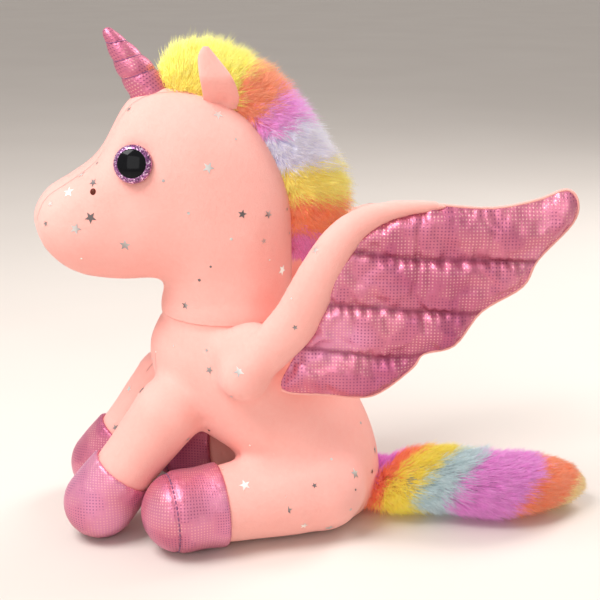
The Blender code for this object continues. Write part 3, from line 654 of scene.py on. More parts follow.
def stage_scene():
    """Camera at the front left, three soft lights, and a pale floor."""
    scene = bpy.context.scene
    scene.view_settings.view_transform = "Standard"
    azimuth, elevation, distance = math.radians(84.0), math.radians(17.0), 0.65
    target = Vector((0.0, -0.012, 0.123))
    back = Vector((math.sin(azimuth) * math.cos(elevation), -math.cos(azimuth) * math.cos(elevation),
                   math.sin(elevation)))
    lens = bpy.data.cameras.new("camera")
    lens.sensor_width = 36.0
    lens.lens = 70.9
    lens.clip_start = 0.01
    camera = bpy.data.objects.new("camera", lens)
    bpy.context.collection.objects.link(camera)
    camera.location = target + back * distance
    camera.rotation_euler = (-back).to_track_quat("-Z", "Y").to_euler()
    scene.camera = camera
    for name, place, size, power in (("key", (0.3, -0.55, 1.05), 0.55, 12.0),
                                     ("fill", (1.55, -0.5, 0.8), 1.1, 6.4),
                                     ("rim", (-0.45, 0.7, 0.8), 0.5, 7.0)):
        light = bpy.data.lights.new(name, "AREA")
        light.size = size
        light.energy = power
        lamp = bpy.data.objects.new(name, light)
        bpy.context.collection.objects.link(lamp)
        lamp.location = place
        lamp.rotation_euler = (target - Vector(place)).to_track_quat("-Z", "Y").to_euler()
    world = bpy.data.worlds.new("studio")
    world.use_nodes = True
    world.node_tree.nodes["Background"].inputs["Color"].default_value = (1.0, 0.975, 0.95, 1.0)
    world.node_tree.nodes["Background"].inputs["Strength"].default_value = 0.52
    scene.world = world
    corners = np.array([(-9.0, -9.0, 0.0), (9.0, -9.0, 0.0), (9.0, 9.0, 0.0), (-9.0, 9.0, 0.0)]) / MM
    floor = make("floor", corners, np.array([[0, 1, 2, 3]]))
    paper = Finish("floor_paper", Roughness=0.8)
    grain = paper.noise(paper.place(), 4.0)
    tone = paper.mix(grain, hue(218, 208, 200), hue(226, 217, 209))
    floor.data.materials.append(paper.end(Base_Color=tone))


# Pink skin --------------------------------------------------------------------------------

def mirrored(point, side):
    """A point of the left side on the side asked for."""
    return np.asarray(point, float) * (side, 1.0, 1.0)


def frame_of(direction):
    """Two unit directions square to a direction."""
    heading = unit(np.asarray(direction, float))
    across = unit(np.cross(heading, (0.0, 0.0, 1.0) if abs(heading[2]) < 0.9 else (0.0, 1.0, 0.0)))
    return across, np.cross(across, heading)


LEGS = [(kind, side, mirrored(joint, side), mirrored(hoof, side), ball, rows, radius)
        for kind, joint, hoof, ball, rows, radius in (
            ("front", SHOULDER, FRONT_HOOF_CENTRE, FRONT_BALL, FRONT_LEG, FRONT_HOOF_RADIUS),
            ("hind", HIP, HIND_HOOF_CENTRE, HIND_BALL, HIND_LEG, HIND_HOOF_RADIUS))
        for side in (1, -1)]
INNER_SUNK = 2.3
HEM = 0.5
FLAP_REACH = 36.0       # how far along the arm the flap under a wing root goes
FLAP_WIDE = 50.0        # and how far out from the middle
FLAP_SUNK = 0.7
BEND = {"front": (0.0, 24.0), "hind": (26.0, 54.0)}     # where a leg starts and ends turning with its joint
WING_HEADING = np.array((0.0, math.sqrt(0.5), math.sqrt(0.5)))
WING_BEND = (4.0, 54.0)


def torso_shape():
    """Level ovals, with centre, depth and width as smooth functions of height."""
    height, middle, depth, width = flow(TORSO, 6).T
    centre = np.stack((np.zeros_like(height), middle, height), -1)
    return tube(ovals(centre, (1.0, 0.0, 0.0), (0.0, 1.0, 0.0), width - 1.0, depth - 1.0, 72))


def leg_shape(joint, hoof, ball, rows):
    """A round limb: a ball at the joint, then the radius as a smooth function of distance."""
    heading = unit(hoof - joint)
    across, up = frame_of(heading)
    part = np.array((-0.94, -0.8, -0.55, -0.25, 0.1, 0.3))
    root = np.stack((part * ball, ball * np.sqrt(1.0 - part ** 2)), -1)
    distance, radius = flow(np.vstack((root, rows)), 5).T
    return tube(ovals(joint + distance[:, None] * heading, across, up, radius - 0.7, radius - 0.7, 48))


def round_neck(points, low, high, radius):
    """Points of the neck between two heights drawn to an exact circle about the neck joint."""
    off = points[:, :2] - NECK[:2]
    reach = np.linalg.norm(off, axis=1)
    share = smoothstep(low, high, points[:, 2]) * (reach > 29.0) * (reach < 41.0)
    points[:, :2] += off * (share * (radius - reach) / np.maximum(reach, 1.0))[:, None]
    return points


def wing_pad():
    """A lens-shaped swelling of the flank under the wing: ovals along X whose size is sqrt(1 - t^2)."""
    part = np.sin(np.linspace(-1.45, 1.45, 13))
    size = np.sqrt(1.0 - part ** 2)
    centre = np.array((37.0, -43.0, 108.0)) + np.outer(part * 13.5, (1.0, 0.0, 0.0))
    return ovals(centre, (0.0, 1.0, 0.0), (0.0, 0.0, 1.0), 19.0 * size, 15.0 * size, 40)


def body_skin():
    """Torso, four legs and the wing arms as one cloth, blown up a little with the seams held."""
    shapes = [torso_shape()]
    shapes += [leg_shape(joint, hoof, ball, rows) for _, _, joint, hoof, ball, rows, _ in LEGS]
    for form in (arm_shape(), wing_pad()):
        shapes.append(tube(form))
        shapes.append(tube(hang_right(form.reshape(-1, 3)).reshape(form.shape)))
    skin = padded_form("body_skin", shapes, 2.6, 12,
                       lambda p: 1.0 - 0.8 * smoothstep(118.0, 140.0, p[:, 2]) * (np.abs(p[:, 0]) > 38.5))
    points, _ = points_of(skin.data)
    x, y, z = points.T
    pinned = ((z > 119.0) & (np.abs(x) < 39.0)) | (z < 1.6)
    pinned |= (np.abs(np.abs(x) - BELLY_HALF) < 1.6) & (y < -36.0) & (y > -80.0) & (z < 66.0)
    inflate(skin, pinned, 1.5)
    settle(skin, ("SMOOTH", {"factor": 0.5, "iterations": 2}), ("SUBSURF", {"levels": 1, "render_levels": 1}))
    points, _ = points_of(skin.data)
    points = round_neck(points, 114.0, 120.0, 35.35 - 3.2 * smoothstep(121.0, 127.0, points[:, 2]))
    points[:, 2] = np.maximum(points[:, 2], 0.15)
    move_points(skin.data, points)
    return skin


def region(whole, name, faces, hem):
    """Some faces of a skin as their own piece, with a hem turned inwards along each cut edge."""
    points, normals = points_of(whole.data)
    used, local = np.unique(faces, return_inverse=True)
    local = local.reshape(-1, 4)
    sides = np.stack((local, np.roll(local, -1, axis=1)), -1).reshape(-1, 2)
    _, index, count = np.unique(np.sort(sides, axis=1), axis=0, return_index=True, return_counts=True)
    rim = sides[index[count == 1]]
    rim_points, rim_local = np.unique(rim, return_inverse=True)
    rim_local = rim_local.reshape(-1, 2) + len(used)
    inner = points[used][rim_points] - normals[used][rim_points] * hem
    turned = np.stack((rim[:, 1], rim[:, 0], rim_local[:, 0], rim_local[:, 1]), -1)
    made = make(name, np.vstack((points[used], inner)), np.vstack((local, turned)))
    smooth = np.vstack((normals[used], normals[used][rim_points]))
    made.data.normals_split_custom_set_from_vertices(smooth.tolist())
    return made


def leg_member(points, joint, hoof, kind, rows):
    """Whether a point is on a leg past the start of its bend: near enough to the leg's axis."""
    heading = unit(hoof - joint)
    distance = (points - joint) @ heading
    off = np.linalg.norm(points - joint - distance[:, None] * heading, axis=1)
    reach = np.interp(distance, [d for d, _ in rows], [r for _, r in rows]) + 4.0
    return (distance > BEND[kind][0]) & (off < reach)


def arm_member(points, side):
    """Whether a point is on a wing's arm past the start of its bend."""
    if side < 0:
        points = hang_right(points, back=True)
    y, z, width, _ = flow(ARM, 4).T
    centre = wing_place(y, z, 0.0)
    off = np.linalg.norm(points[:, None] - centre, axis=2)
    nearest = off.argmin(1)
    past = (points - WING) @ WING_HEADING > WING_BEND[0] + 1.0
    return past & (off[np.arange(len(points)), nearest] < width[nearest] + 4.5) & (points[:, 0] > 40.5)


def wing_bend(side):
    """Where a wing starts and ends turning with its joint, in metres."""
    ends = [WING + WING_HEADING * d for d in WING_BEND]
    if side < 0:
        ends = hang_right(np.array(ends))
    return [tuple(np.asarray(end) * MM) for end in ends]


def inner_form(name, shape, body, bend=None):
    """The closed stuffed form under a cover, sunk a little below it, which shows where a seam opens."""
    form = outward(make(name, *shape))
    points, normals = points_of(form.data)
    move_points(form.data, points - normals * INNER_SUNK)
    finish_piece(form, PLUSH, None if bend else body)
    if bend:
        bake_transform(form)


def cover_body():
    """Cut the body cloth into the torso, the four legs and the two wing arms."""
    skin = body_skin()
    faces = quads_of(skin.data)
    points, _ = points_of(skin.data)
    left_over = np.ones(len(faces), bool)
    covers = {}
    for kind, side, joint, hoof, ball, rows, _ in LEGS:
        end = "left" if side > 0 else "right"
        member = leg_member(points, joint, hoof, kind, rows) & (points[:, 0] * side > 1.0)
        chosen = member[faces].any(1) & left_over
        left_over &= ~chosen
        cover = region(skin, f"{kind}_leg_cover_{end}", faces[chosen], HEM)
        finish_piece(cover, PLUSH, None,
                     (f"{kind}_leg_skin_{end}", f"{kind}_leg_stuffing_{end}"))
        heading = unit(hoof - joint)
        start, stop = (joint + heading * d for d in BEND[kind])
        tuple(start * MM)
        tuple(stop * MM)
        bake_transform(cover)
        covers[f"{kind}_leg_{end}"] = (cover, [tuple(start * MM), tuple(stop * MM)])
        inner_form(f"{kind}_leg_inner_{end}", leg_shape(joint, hoof, ball, rows), f"{kind}_leg_{end}",
                   covers[f"{kind}_leg_{end}"][1])
    for side, end in ((1, "left"), (-1, "right")):
        chosen = arm_member(points, side)[faces].any(1) & left_over
        left_over &= ~chosen
        cover = region(skin, f"wing_arm_cover_{end}", faces[chosen], HEM)
        finish_piece(cover, PLUSH, None, (f"wing_arm_{end}", f"wing_arm_stuffing_{end}"))
        start, stop = wing_bend(side)
        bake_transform(cover)
        covers[f"wing_{end}"] = (cover, [start, stop])
        form = arm_shape()
        if side < 0:
            form = hang_right(form.reshape(-1, 3)).reshape(form.shape)
        inner_form(f"wing_arm_inner_{end}", tube(form), f"wing_{end}", (start, stop))
        rooted = (points - (WING if side > 0 else WING * (-1.0, 1.0, 1.0))) @ WING_HEADING < FLAP_REACH
        rooted &= points[:, 0] * side < FLAP_WIDE
        under = region(skin, f"wing_root_inner_{end}", faces[chosen & rooted[faces].all(1)], HEM)
        inside, facing = points_of(under.data)
        move_points(under.data, inside - facing * FLAP_SUNK)
        finish_piece(under, PLUSH, "torso")
    inner_form("torso_inner", torso_shape(), "torso")
    torso = region(skin, "torso_cover", faces[left_over], HEM)
    finish_piece(torso, BELLY_PLUSH, "torso",
                 ("torso_side_left", "torso_side_right", "belly_gusset", "torso_stuffing"))
    bpy.data.objects.remove(skin, do_unlink=True)
    angle = np.linspace(0.0, TAU, 200, endpoint=False)
    ring = np.stack((NECK[0] + 35.5 * np.cos(angle), NECK[1] + 35.5 * np.sin(angle), np.full(200, 121.2)), -1)
    stitch = outward(make("neck_seam_stitching", *ring_tube(ring, 0.25, 6)))
    finish_piece(stitch, PINK_THREAD, "torso", ("neck_seam_thread",))
    return torso, covers


def ring_tube(route, radius, count):
    """A thin round cord through a closed route of points."""
    heading = unit(np.roll(route, -1, axis=0) - np.roll(route, 1, axis=0))
    across = unit(np.cross(heading, (0.0, 0.0, 1.0)))
    rings = ovals(route, across, np.cross(across, heading), radius, radius, count)
    rows = len(route)
    i = np.arange(count)
    row = np.arange(rows)[:, None] * count
    following = (np.arange(rows)[:, None] + 1) % rows * count
    j = (i + 1) % count
    quads = np.stack((row + i, row + j, following + j, following + i), -1).reshape(-1, 4)
    return rings.reshape(-1, 3), quads


def head_shape():
    """Superellipses that swing from the level neck seam to the upright muzzle."""
    low_y, low_z, high_y, high_z, width, power = flow(HEAD, 6).T
    nothing = np.zeros_like(low_y)
    low = np.stack((nothing, low_y, low_z), -1)
    high = np.stack((nothing, high_y, high_z), -1)
    half = np.linalg.norm(high - low, axis=1) / 2
    middle = (low + high) / 2
    return tube(ovals(middle, (1.0, 0.0, 0.0), unit(high - low), width - 0.8, half - 0.8, 72, power))


def cover_head():
    """The head cloth, blown up with its crest seams held, and dimpled round the eyes."""
    head = padded_form("head_cover", [head_shape()], 3.0, 3)
    points, _ = points_of(head.data)
    x, y, z = points.T
    pinned = z < 127.5
    pinned |= (np.abs(np.abs(x) - CREST_HALF) < 1.5) & ((z > 172.0) & (y < -60.0))
    inflate(head, pinned, 1.4)
    settle(head, ("SMOOTH", {"factor": 0.5, "iterations": 1}), ("SUBSURF", {"levels": 1, "render_levels": 1}))
    points, normals = points_of(head.data)
    points = (round_neck(points * (1, 1, -1), -133.0, -123.5, 35.75)) * (1, 1, -1)
    x, y, z = points.T
    on_top = smoothstep(170.0, 178.0, z) * (y < -20.0)
    valley = 0.7 * np.exp(-((np.abs(x) - CREST_HALF) / 1.8) ** 2) * on_top
    for end in ("left", "right"):
        low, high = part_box(f"eye_dome_{end}")
        eye = np.array(low + high) / 2 / MM
        valley += 1.5 * np.exp(-(np.linalg.norm(points - eye, axis=1) / 11.0) ** 4)
    move_points(head.data, points - normals * valley[:, None])
    nodes = ["head_side_left", "head_side_right", "head_gusset", "head_stuffing"]
    nodes += [f"eye_{part}_{end}" for part in ("shank", "washer") for end in ("left", "right")]
    finish_piece(head, HEAD_PLUSH, "head", nodes)
    return head


# Foil hooves, horn, eyes, nostrils and ears -------------------------------------------------

def dome_weave(points, centre):
    """Cloth coordinates on a ball: the angle from the sideways axis, laid out flat in its own direction."""
    out = unit(points - centre)
    angle = np.arccos(np.clip(np.abs(out[:, 0]), 0.0, 1.0))
    flat = out[:, 1:] / np.maximum(np.linalg.norm(out[:, 1:], axis=1, keepdims=True), 1e-6)
    reach = np.linalg.norm(points - centre, axis=1)
    return np.column_stack((flat * (angle * reach * MM)[:, None], np.zeros(len(points))))


def cap_hoof(kind, side, joint, hoof, radius):
    """A foil cap: a collar that opens to a round toe, pulled in at the seam and puckered beside it."""
    end = "left" if side > 0 else "right"
    length = np.linalg.norm(hoof - joint)
    heading = unit(hoof - joint)
    across, up = frame_of(heading)
    begin = {"front": 41.0, "hind": 56.0}[kind]
    collar = {"front": 17.9, "hind": 21.9}[kind]
    turn = np.radians(np.linspace(6.0, 88.0, 26))
    neck = np.array(((begin + 2.0, collar - 3.0), (begin, collar - 1.2), (begin + 0.3, collar),
                     (begin + 2.5, collar + 0.7), ((begin + length) / 2 + 1.0, radius - 0.3),
                     (length, radius)))
    toe = np.stack((length + radius * np.sin(turn), radius * np.cos(turn)), -1)
    profile = np.vstack((flow(neck, 5), toe))
    count = 96
    angle = np.linspace(0.0, TAU, count, endpoint=False)
    distance = profile[:, 0]
    rings = ovals(joint + distance[:, None] * heading, across, up, profile[:, 1], profile[:, 1], count)
    centre = joint + distance[:, None, None] * heading
    seam = length + 6.0
    pull = 0.9 * np.exp(-((distance - seam) / 1.3) ** 2) * (kind == "hind")
    folds = np.sin(19 * angle + 0.8 * np.sin(3 * angle))
    pucker = 0.22 * np.exp(-np.abs(distance - begin - 1.0) / 3.5)[:, None] * folds
    by_seam = np.exp(-np.abs(distance - seam) / 4.0) * (kind == "hind")
    pucker = pucker + 0.16 * by_seam[:, None] * np.sin(23 * angle)
    shrink = (1.0 - (pull[:, None] + pucker) / np.maximum(profile[:, 1], 4.0)[:, None])[..., None]
    rings = centre + (rings - centre) * shrink
    cap = outward(make(f"{kind}_hoof_cap_{end}", *tube(rings)))
    points, _ = points_of(cap.data)
    points[:, 2] = np.maximum(points[:, 2], 0.15)
    move_points(cap.data, points)
    tag(cap, "weave", dome_weave(points, hoof))
    body = f"{kind}_leg_{end}"
    finish_piece(cap, FOIL, body, (f"{kind}_hoof_{end}",))
    if kind == "hind":
        count = 44
        middle = np.linspace(0.0, TAU, count, endpoint=False)
        reach = math.sqrt(radius ** 2 - 36.0) - 0.55
        t = np.linspace(-0.045, 0.045, 5)
        turnings = (middle[:, None] + t).ravel()
        centre = joint + seam * heading
        route = centre + reach * (np.cos(turnings)[:, None] * across + np.sin(turnings)[:, None] * up)
        stitches = [tube(ovals(part, unit(part - centre), np.broadcast_to(heading, part.shape), 0.3, 0.42, 6))
                    for part in route.reshape(count, 5, 3)]
        obj = joined_tubes(f"hoof_stitching_{end}", stitches)
        finish_piece(obj, MAUVE_THREAD, body)


def joined_tubes(name, shapes):
    """Several closed tubes as one object."""
    points = np.vstack([s[0] for s in shapes])
    starts = np.cumsum([0] + [len(s[0]) for s in shapes[:-1]])
    quads = np.vstack([s[1] + start for s, start in zip(shapes, starts)])
    fans = np.vstack([s[2] + start for s, start in zip(shapes, starts)])
    return outward(make(name, points, quads, fans))


def build_horn():
    """A tapered roll of foil, puffed between the turns of a thread wound in a helix."""
    axis = unit(HORN_TIP - HORN_BASE)
    across, up = frame_of(axis)
    count = 72
    angle = np.linspace(0.0, TAU, count, endpoint=False)
    distance, radius = flow(HORN, 14).T
    pitch = (33.0 - 4.5) / HORN_TURNS
    turn = (distance[:, None] - 5.0) / pitch - angle / TAU
    fullness = np.abs(np.sin(np.pi * turn)) ** 0.55
    fade = (smoothstep(35.5, 31.0, distance) * smoothstep(1.0, 5.0, distance))[:, None] * np.ones(count)
    wrinkle = 0.12 * np.sin(11 * angle + 5 * turn) * (1.0 - fullness)
    deep = 0.1 * radius[:, None] + 0.25
    size = radius[:, None] + 0.25 - deep * (1.0 - fullness) * fade + wrinkle * fade
    lean = HORN_LEAN * (1.0 - distance / 36.8)[:, None]
    rings = ((HORN_BASE + lean + distance[:, None] * axis)[:, None]
             + (size * np.cos(angle))[..., None] * across + (size * np.sin(angle))[..., None] * up)
    horn = outward(make("horn_cover", *tube(rings)))
    weave = np.stack((np.broadcast_to(radius[:, None] * angle, size.shape),
                      np.broadcast_to(distance[:, None], size.shape), np.zeros(size.shape)), -1)
    weave = weave.reshape(-1, 3)
    tag(horn, "weave", np.vstack((weave, weave[:1], weave[-1:])) * MM)
    finish_piece(horn, FOIL, "head", ("horn_foil", "horn_stuffing"))
    wound = np.linspace(0.1, HORN_TURNS - 0.02, 40 * HORN_TURNS)
    reach = 5.0 + wound * pitch
    inside = np.interp(reach, distance, radius) + 0.1 - 0.1 * np.interp(reach, distance, radius)
    middle = HORN_BASE + HORN_LEAN * (1.0 - reach / 36.8)[:, None] + reach[:, None] * axis
    route = (middle + (inside * np.cos(TAU * wound))[:, None] * across
             + (inside * np.sin(TAU * wound))[:, None] * up)
    heading = unit(np.gradient(route, axis=0))
    out = unit(route - middle)
    winding = outward(make("horn_winding", *tube(ovals(route, out, np.cross(out, heading), 0.34, 0.34, 6))))
    finish_piece(winding, MAUVE_THREAD, "head", ("horn_thread",))


def lathe(name, place, axis, profile, count):
    """A shape turned about an axis: (distance from it, height along it) pairs, closed at both ends."""
    across, up = frame_of(axis)
    profile = np.asarray(profile, float)
    rings = ovals(place + profile[:, 1:] * np.asarray(axis), across, up, profile[:, 0], profile[:, 0], count)
    return outward(make(name, *tube(rings)))


def build_face(skin):
    """Domed safety eyes with a glitter ring, and the two sewn nostrils."""
    tree = tree_of(skin)
    for end in ("left", "right"):
        low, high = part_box(f"eye_dome_{end}")
        middle = np.array(low + high) / 2 / MM
        seat_low, seat_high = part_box(f"eye_washer_{end}")
        seat = np.array(seat_low + seat_high) / 2 / MM
        axis = unit(middle - seat)
        base = middle - axis * 3.4
        rim = np.linspace(0.0, 1.0, 10)
        ring = [(6.6, -0.6), (8.6, -0.6), (9.6, 0.2)]
        ring += [(9.8 * math.cos(a), 1.2 + 4.6 * math.sin(a)) for a in 0.75 * rim]
        ring += [(6.9, 3.6), (6.6, 2.5)]
        obj = lathe(f"eye_ring_{end}", base, axis, ring, 64)
        finish_piece(obj, GLITTER, "head", (f"eye_iris_{end}",))
        cap = [(7.2, 1.5), (7.35, 3.4)]
        cap += [(9.8 * math.cos(a), 1.35 + 4.6 * math.sin(a)) for a in np.linspace(0.73, 1.52, 12)]
        obj = lathe(f"eye_pupil_cap_{end}", base, axis, cap, 64)
        finish_piece(obj, EYE_BLACK, "head", (f"eye_pupil_{end}", f"eye_dome_{end}"))
        low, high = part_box(f"nostril_{end}")
        middle = np.array(low + high) / 2 / MM
        place, normal = onto(tree, middle)
        dot = [(1.75 * math.cos(a), -0.2 + 1.1 * math.sin(a)) for a in np.linspace(-0.4, 1.5, 9)]
        obj = lathe(f"nostril_dot_{end}", place, normal, dot, 32)
        finish_piece(obj, NOSTRIL_BROWN, "head", (f"nostril_{end}",))


def tree_of(*skins):
    """A search tree over the faces of skins, in millimetres."""
    points, faces, start = [], [], 0
    for skin in skins:
        some, _ = points_of(skin.data)
        points.append(some)
        faces.append(quads_of(skin.data) + start)
        start += len(some)
    return BVHTree.FromPolygons(np.vstack(points).tolist(), np.vstack(faces).tolist())


def onto(tree, place):
    """The nearest point of a skin and its outward direction."""
    found, normal, _, _ = tree.find_nearest(Vector(place))
    return np.array(found), np.array(normal)


def build_ear(side):
    """A padded leaf of lens-shaped sections, cupped forwards and pinched at its root."""
    end = "left" if side > 0 else "right"
    low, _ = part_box(f"ear_outer_{end}")
    root = np.array((side * 20.0, -54.0, low.z / MM - 0.8))
    height, front, rear, thick = flow(EAR, 6).T
    count = 48
    angle = np.linspace(0.0, TAU, count, endpoint=False)
    half = (rear - front) / 2
    y = (front + rear)[:, None] / 2 + half[:, None] * np.cos(angle)
    lens = np.sign(np.sin(angle)) * np.abs(np.sin(angle)) ** 1.2
    cup = 2.6 * np.cos(angle) ** 2 * smoothstep(-1.0, 6.0, height)[:, None]
    cup = cup * smoothstep(25.0, 14.0, height)[:, None]
    fold = 1.7 * np.exp(-((height - 2.5) / 3.2) ** 2)[:, None] * np.exp(-((y - 0.5) / 3.4) ** 2)
    x = thick[:, None] * lens + cup * 0.6 - fold * np.where(np.sin(angle) > 0, 1.0, 0.4)
    x = x - 7.5 * smoothstep(16.0, -2.0, height)[:, None]
    rings = root + np.stack((side * x, y, np.broadcast_to(height[:, None], y.shape)), -1)
    points, quads, fans = tube(rings)
    outside = np.tile(np.sin(angle) > -0.05, len(height) - 1)
    for name, keep, material, slot in (("ear_leaf", outside, PLUSH, "plush_cloth"),
                                       ("ear_inside", ~outside, LINING, "ear_lining_cloth")):
        whole = make(f"{name}_{end}", points, quads[keep], fans) if name == "ear_leaf" else make(
            f"{name}_{end}", points, quads[keep])
        tidy = bmesh.new()
        tidy.from_mesh(whole.data)
        bmesh.ops.delete(tidy, geom=[v for v in tidy.verts if not v.link_faces], context="VERTS")
        if side < 0:
            bmesh.ops.reverse_faces(tidy, faces=tidy.faces)
        tidy.to_mesh(whole.data)
        tidy.free()
        node = {"ear_leaf": "ear_outer", "ear_inside": "ear_lining"}[name]
        finish_piece(whole, material, f"ear_{end}", (f"{node}_{end}",))


# Wings ------------------------------------------------------------------------------------

def wing_place(y, z, lift):
    """A point of the left wing: x grows with y as the plane opens, then lifts square to the plane."""
    x = WING_PLANE[0] + math.tan(WING_YAW) * (y - WING_PLANE[1])
    return np.stack((x + lift * math.cos(WING_YAW), y - lift * math.sin(WING_YAW), z), -1)


def hang_right(points, back=False):
    """Points of the left wing moved to the right wing, which hangs lower about its joint, or moved back."""
    pivot = WING * (-1.0, 1.0, 1.0) if back else WING
    moved = (points - pivot) * (-1.0, 1.0, 1.0)
    turn = RIGHT_DROOP if back else -RIGHT_DROOP
    y = moved[:, 1] * math.cos(turn) - moved[:, 2] * math.sin(turn)
    z = moved[:, 1] * math.sin(turn) + moved[:, 2] * math.cos(turn)
    return np.stack((moved[:, 0], y, z), -1) + pivot * (-1.0, 1.0, 1.0)


def quilt_distances(flat, outline):
    """For points of the panel: distance to the edge, to the nearest seam, to the seam or edge above
    and to the one below."""
    edge = to_polyline(flat, np.vstack((outline, outline[:1])))
    lines = [flow(line, 4) for line in QUILTING]
    seam = np.min([to_polyline(flat, line) for line in lines], axis=0)
    rise = np.array([np.interp(flat[:, 0], line[:, 0], line[:, 1]) - flat[:, 1] for line in lines])
    inside = np.array([(flat[:, 0] > line[0, 0]) & (flat[:, 0] < line[-1, 0]) for line in lines])
    above = np.minimum(np.where((rise > 0) & inside, rise, 99.0).min(0), edge)
    below = np.minimum(np.where((rise <= 0) & inside, -rise, 99.0).min(0), edge)
    return edge, seam, above, below


def quilt_panel():
    """The wing panel: a slab whose feathers rise steeply from the seam above and fall away to the
    seam below, blown up as cloth, then puckered along the seams."""
    outline = flow(np.vstack((PANEL, PANEL[:1])), 5)[:-1]
    count = len(outline)
    walls = np.vstack([np.column_stack((np.full(count, lift), outline)) for lift in (-3.2, 3.2)])
    i = np.arange(count)
    j = (i + 1) % count
    sides = np.stack((i, j, j + count, i + count), -1)
    slab = make("wing_slab", walls, sides, i[None, ::-1], (i + count)[None])
    settle(slab, ("REMESH", {"mode": "VOXEL", "voxel_size": 2.2 * MM}))
    points, _ = points_of(slab.data)
    flat = points[:, 1:]
    edge, seam, above, below = quilt_distances(flat, outline)
    share = above / np.maximum(above + below, 0.1)
    crown = (1.0 - np.exp(-above / 2.0)) * np.sqrt(1.0 - (1.0 - np.clip(below / 11.0, 0.0, 1.0)) ** 2)
    crown *= (1.12 - 0.35 * share) * np.sqrt(1.0 - (1.0 - np.clip(edge / 7.0, 0.0, 1.0)) ** 2)
    fold = 1.0 - 0.3 * np.exp(-(to_polyline(flat, WING_FOLD) / 1.8) ** 2)
    side = np.sign(points[:, 0]) * smoothstep(0.0, 1.6, np.abs(points[:, 0]))
    lift = side * (0.45 + (PUFF - 1.0) * crown * fold)
    move_points(slab.data, np.column_stack((lift, flat)))
    inflate(slab, np.minimum(edge, seam) < 1.4, 1.6, pressure=4.0, grow=0.08, bending=0.05)
    settle(slab, ("SUBSURF", {"levels": 1, "render_levels": 1}))
    points, normals = points_of(slab.data)
    flat = points[:, 1:]
    edge, seam, above, below = quilt_distances(flat, outline)
    wave = np.sin(TAU * flat[:, 0] / 6.3 + 2.4 * np.sin(flat[:, 0] / 8.0 + flat[:, 1] / 11.0))
    off_seam = smoothstep(0.0, 1.6, np.minimum(seam, edge))
    pucker = 0.55 * wave * np.exp(-np.minimum(seam, edge * 1.4) / 4.5) * off_seam
    points = points + normals * pucker[:, None]
    faces = quads_of(slab.data)
    bpy.data.objects.remove(slab, do_unlink=True)
    # the last value is near 1 on a seam; the foil uses it for painted shade along the seams
    return points, faces, outline, np.exp(-(seam / 1.5) ** 2)


def arm_shape():
    """Flat ovals up the leading edge, from a ball at the joint."""
    y, z, width, thick = flow(ARM, 6).T
    centre = wing_place(y, z, 0.0)
    first = unit(centre[0] - WING)
    out = wing_place(0.0, 0.0, 1.0) - wing_place(0.0, 0.0, 0.0)
    part = np.array((-0.95, -0.8, -0.5, -0.15, 0.2)) * 13.6
    ball = np.sqrt(13.6 ** 2 - part ** 2)
    centre = np.vstack((WING + part[:, None] * first, centre))
    heading = unit(np.gradient(centre, axis=0))
    lateral = unit(out - (heading @ out)[:, None] * heading)
    thick = np.concatenate((ball * np.array((1.0, 1.0, 1.0, 0.95, 0.85)), thick))
    width = np.concatenate((ball, width))
    return ovals(centre, lateral, np.cross(lateral, heading), thick, width, 48)


def build_wings():
    """Foil front, plush back and edge piping of each wing."""
    points, faces, outline, sewn = quilt_panel()
    front = points[faces][..., 0].mean(1) > 0.0
    free = outline[:15 * 5 + 1]
    for side, end in ((1, "left"), (-1, "right")):
        start, stop = wing_bend(side)
        for name, chosen, material, slot, nodes in (
                ("wing_foil_cover", front, FOIL, "foil_cloth", (f"wing_foil_{end}", f"wing_wadding_{end}")),
                ("wing_back_cover", ~front, PLUSH, "plush_cloth", (f"wing_backing_{end}",))):
            used, local = np.unique(faces[chosen], return_inverse=True)
            local = local.reshape(-1, 4)
            raw = points[used]
            placed = wing_place(raw[:, 1], raw[:, 2], raw[:, 0])
            if side < 0:
                placed = hang_right(placed)
                local = local[:, ::-1]
            cover = make(f"{name}_{end}", placed, local)
            # the third part of the weave carries the seam closeness for the foil's painted shade
            tag(cover, "weave", np.column_stack((raw[:, 1:] * MM, sewn[used])))
            finish_piece(cover, material, None, nodes)
            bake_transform(cover)
        route = wing_place(free[:, 0], free[:, 1], 0.0)
        if side < 0:
            route = hang_right(route)
        heading = unit(np.gradient(route, axis=0))
        across = unit(np.cross(heading, (1.0, 0.0, 0.0)))
        rings = ovals(route, across, np.cross(across, heading), PIPING, PIPING, 8)
        edge = outward(make(f"wing_edge_{end}", *tube(rings)))
        finish_piece(edge, PLUSH)
        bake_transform(edge)


# Fur --------------------------------------------------------------------------------------

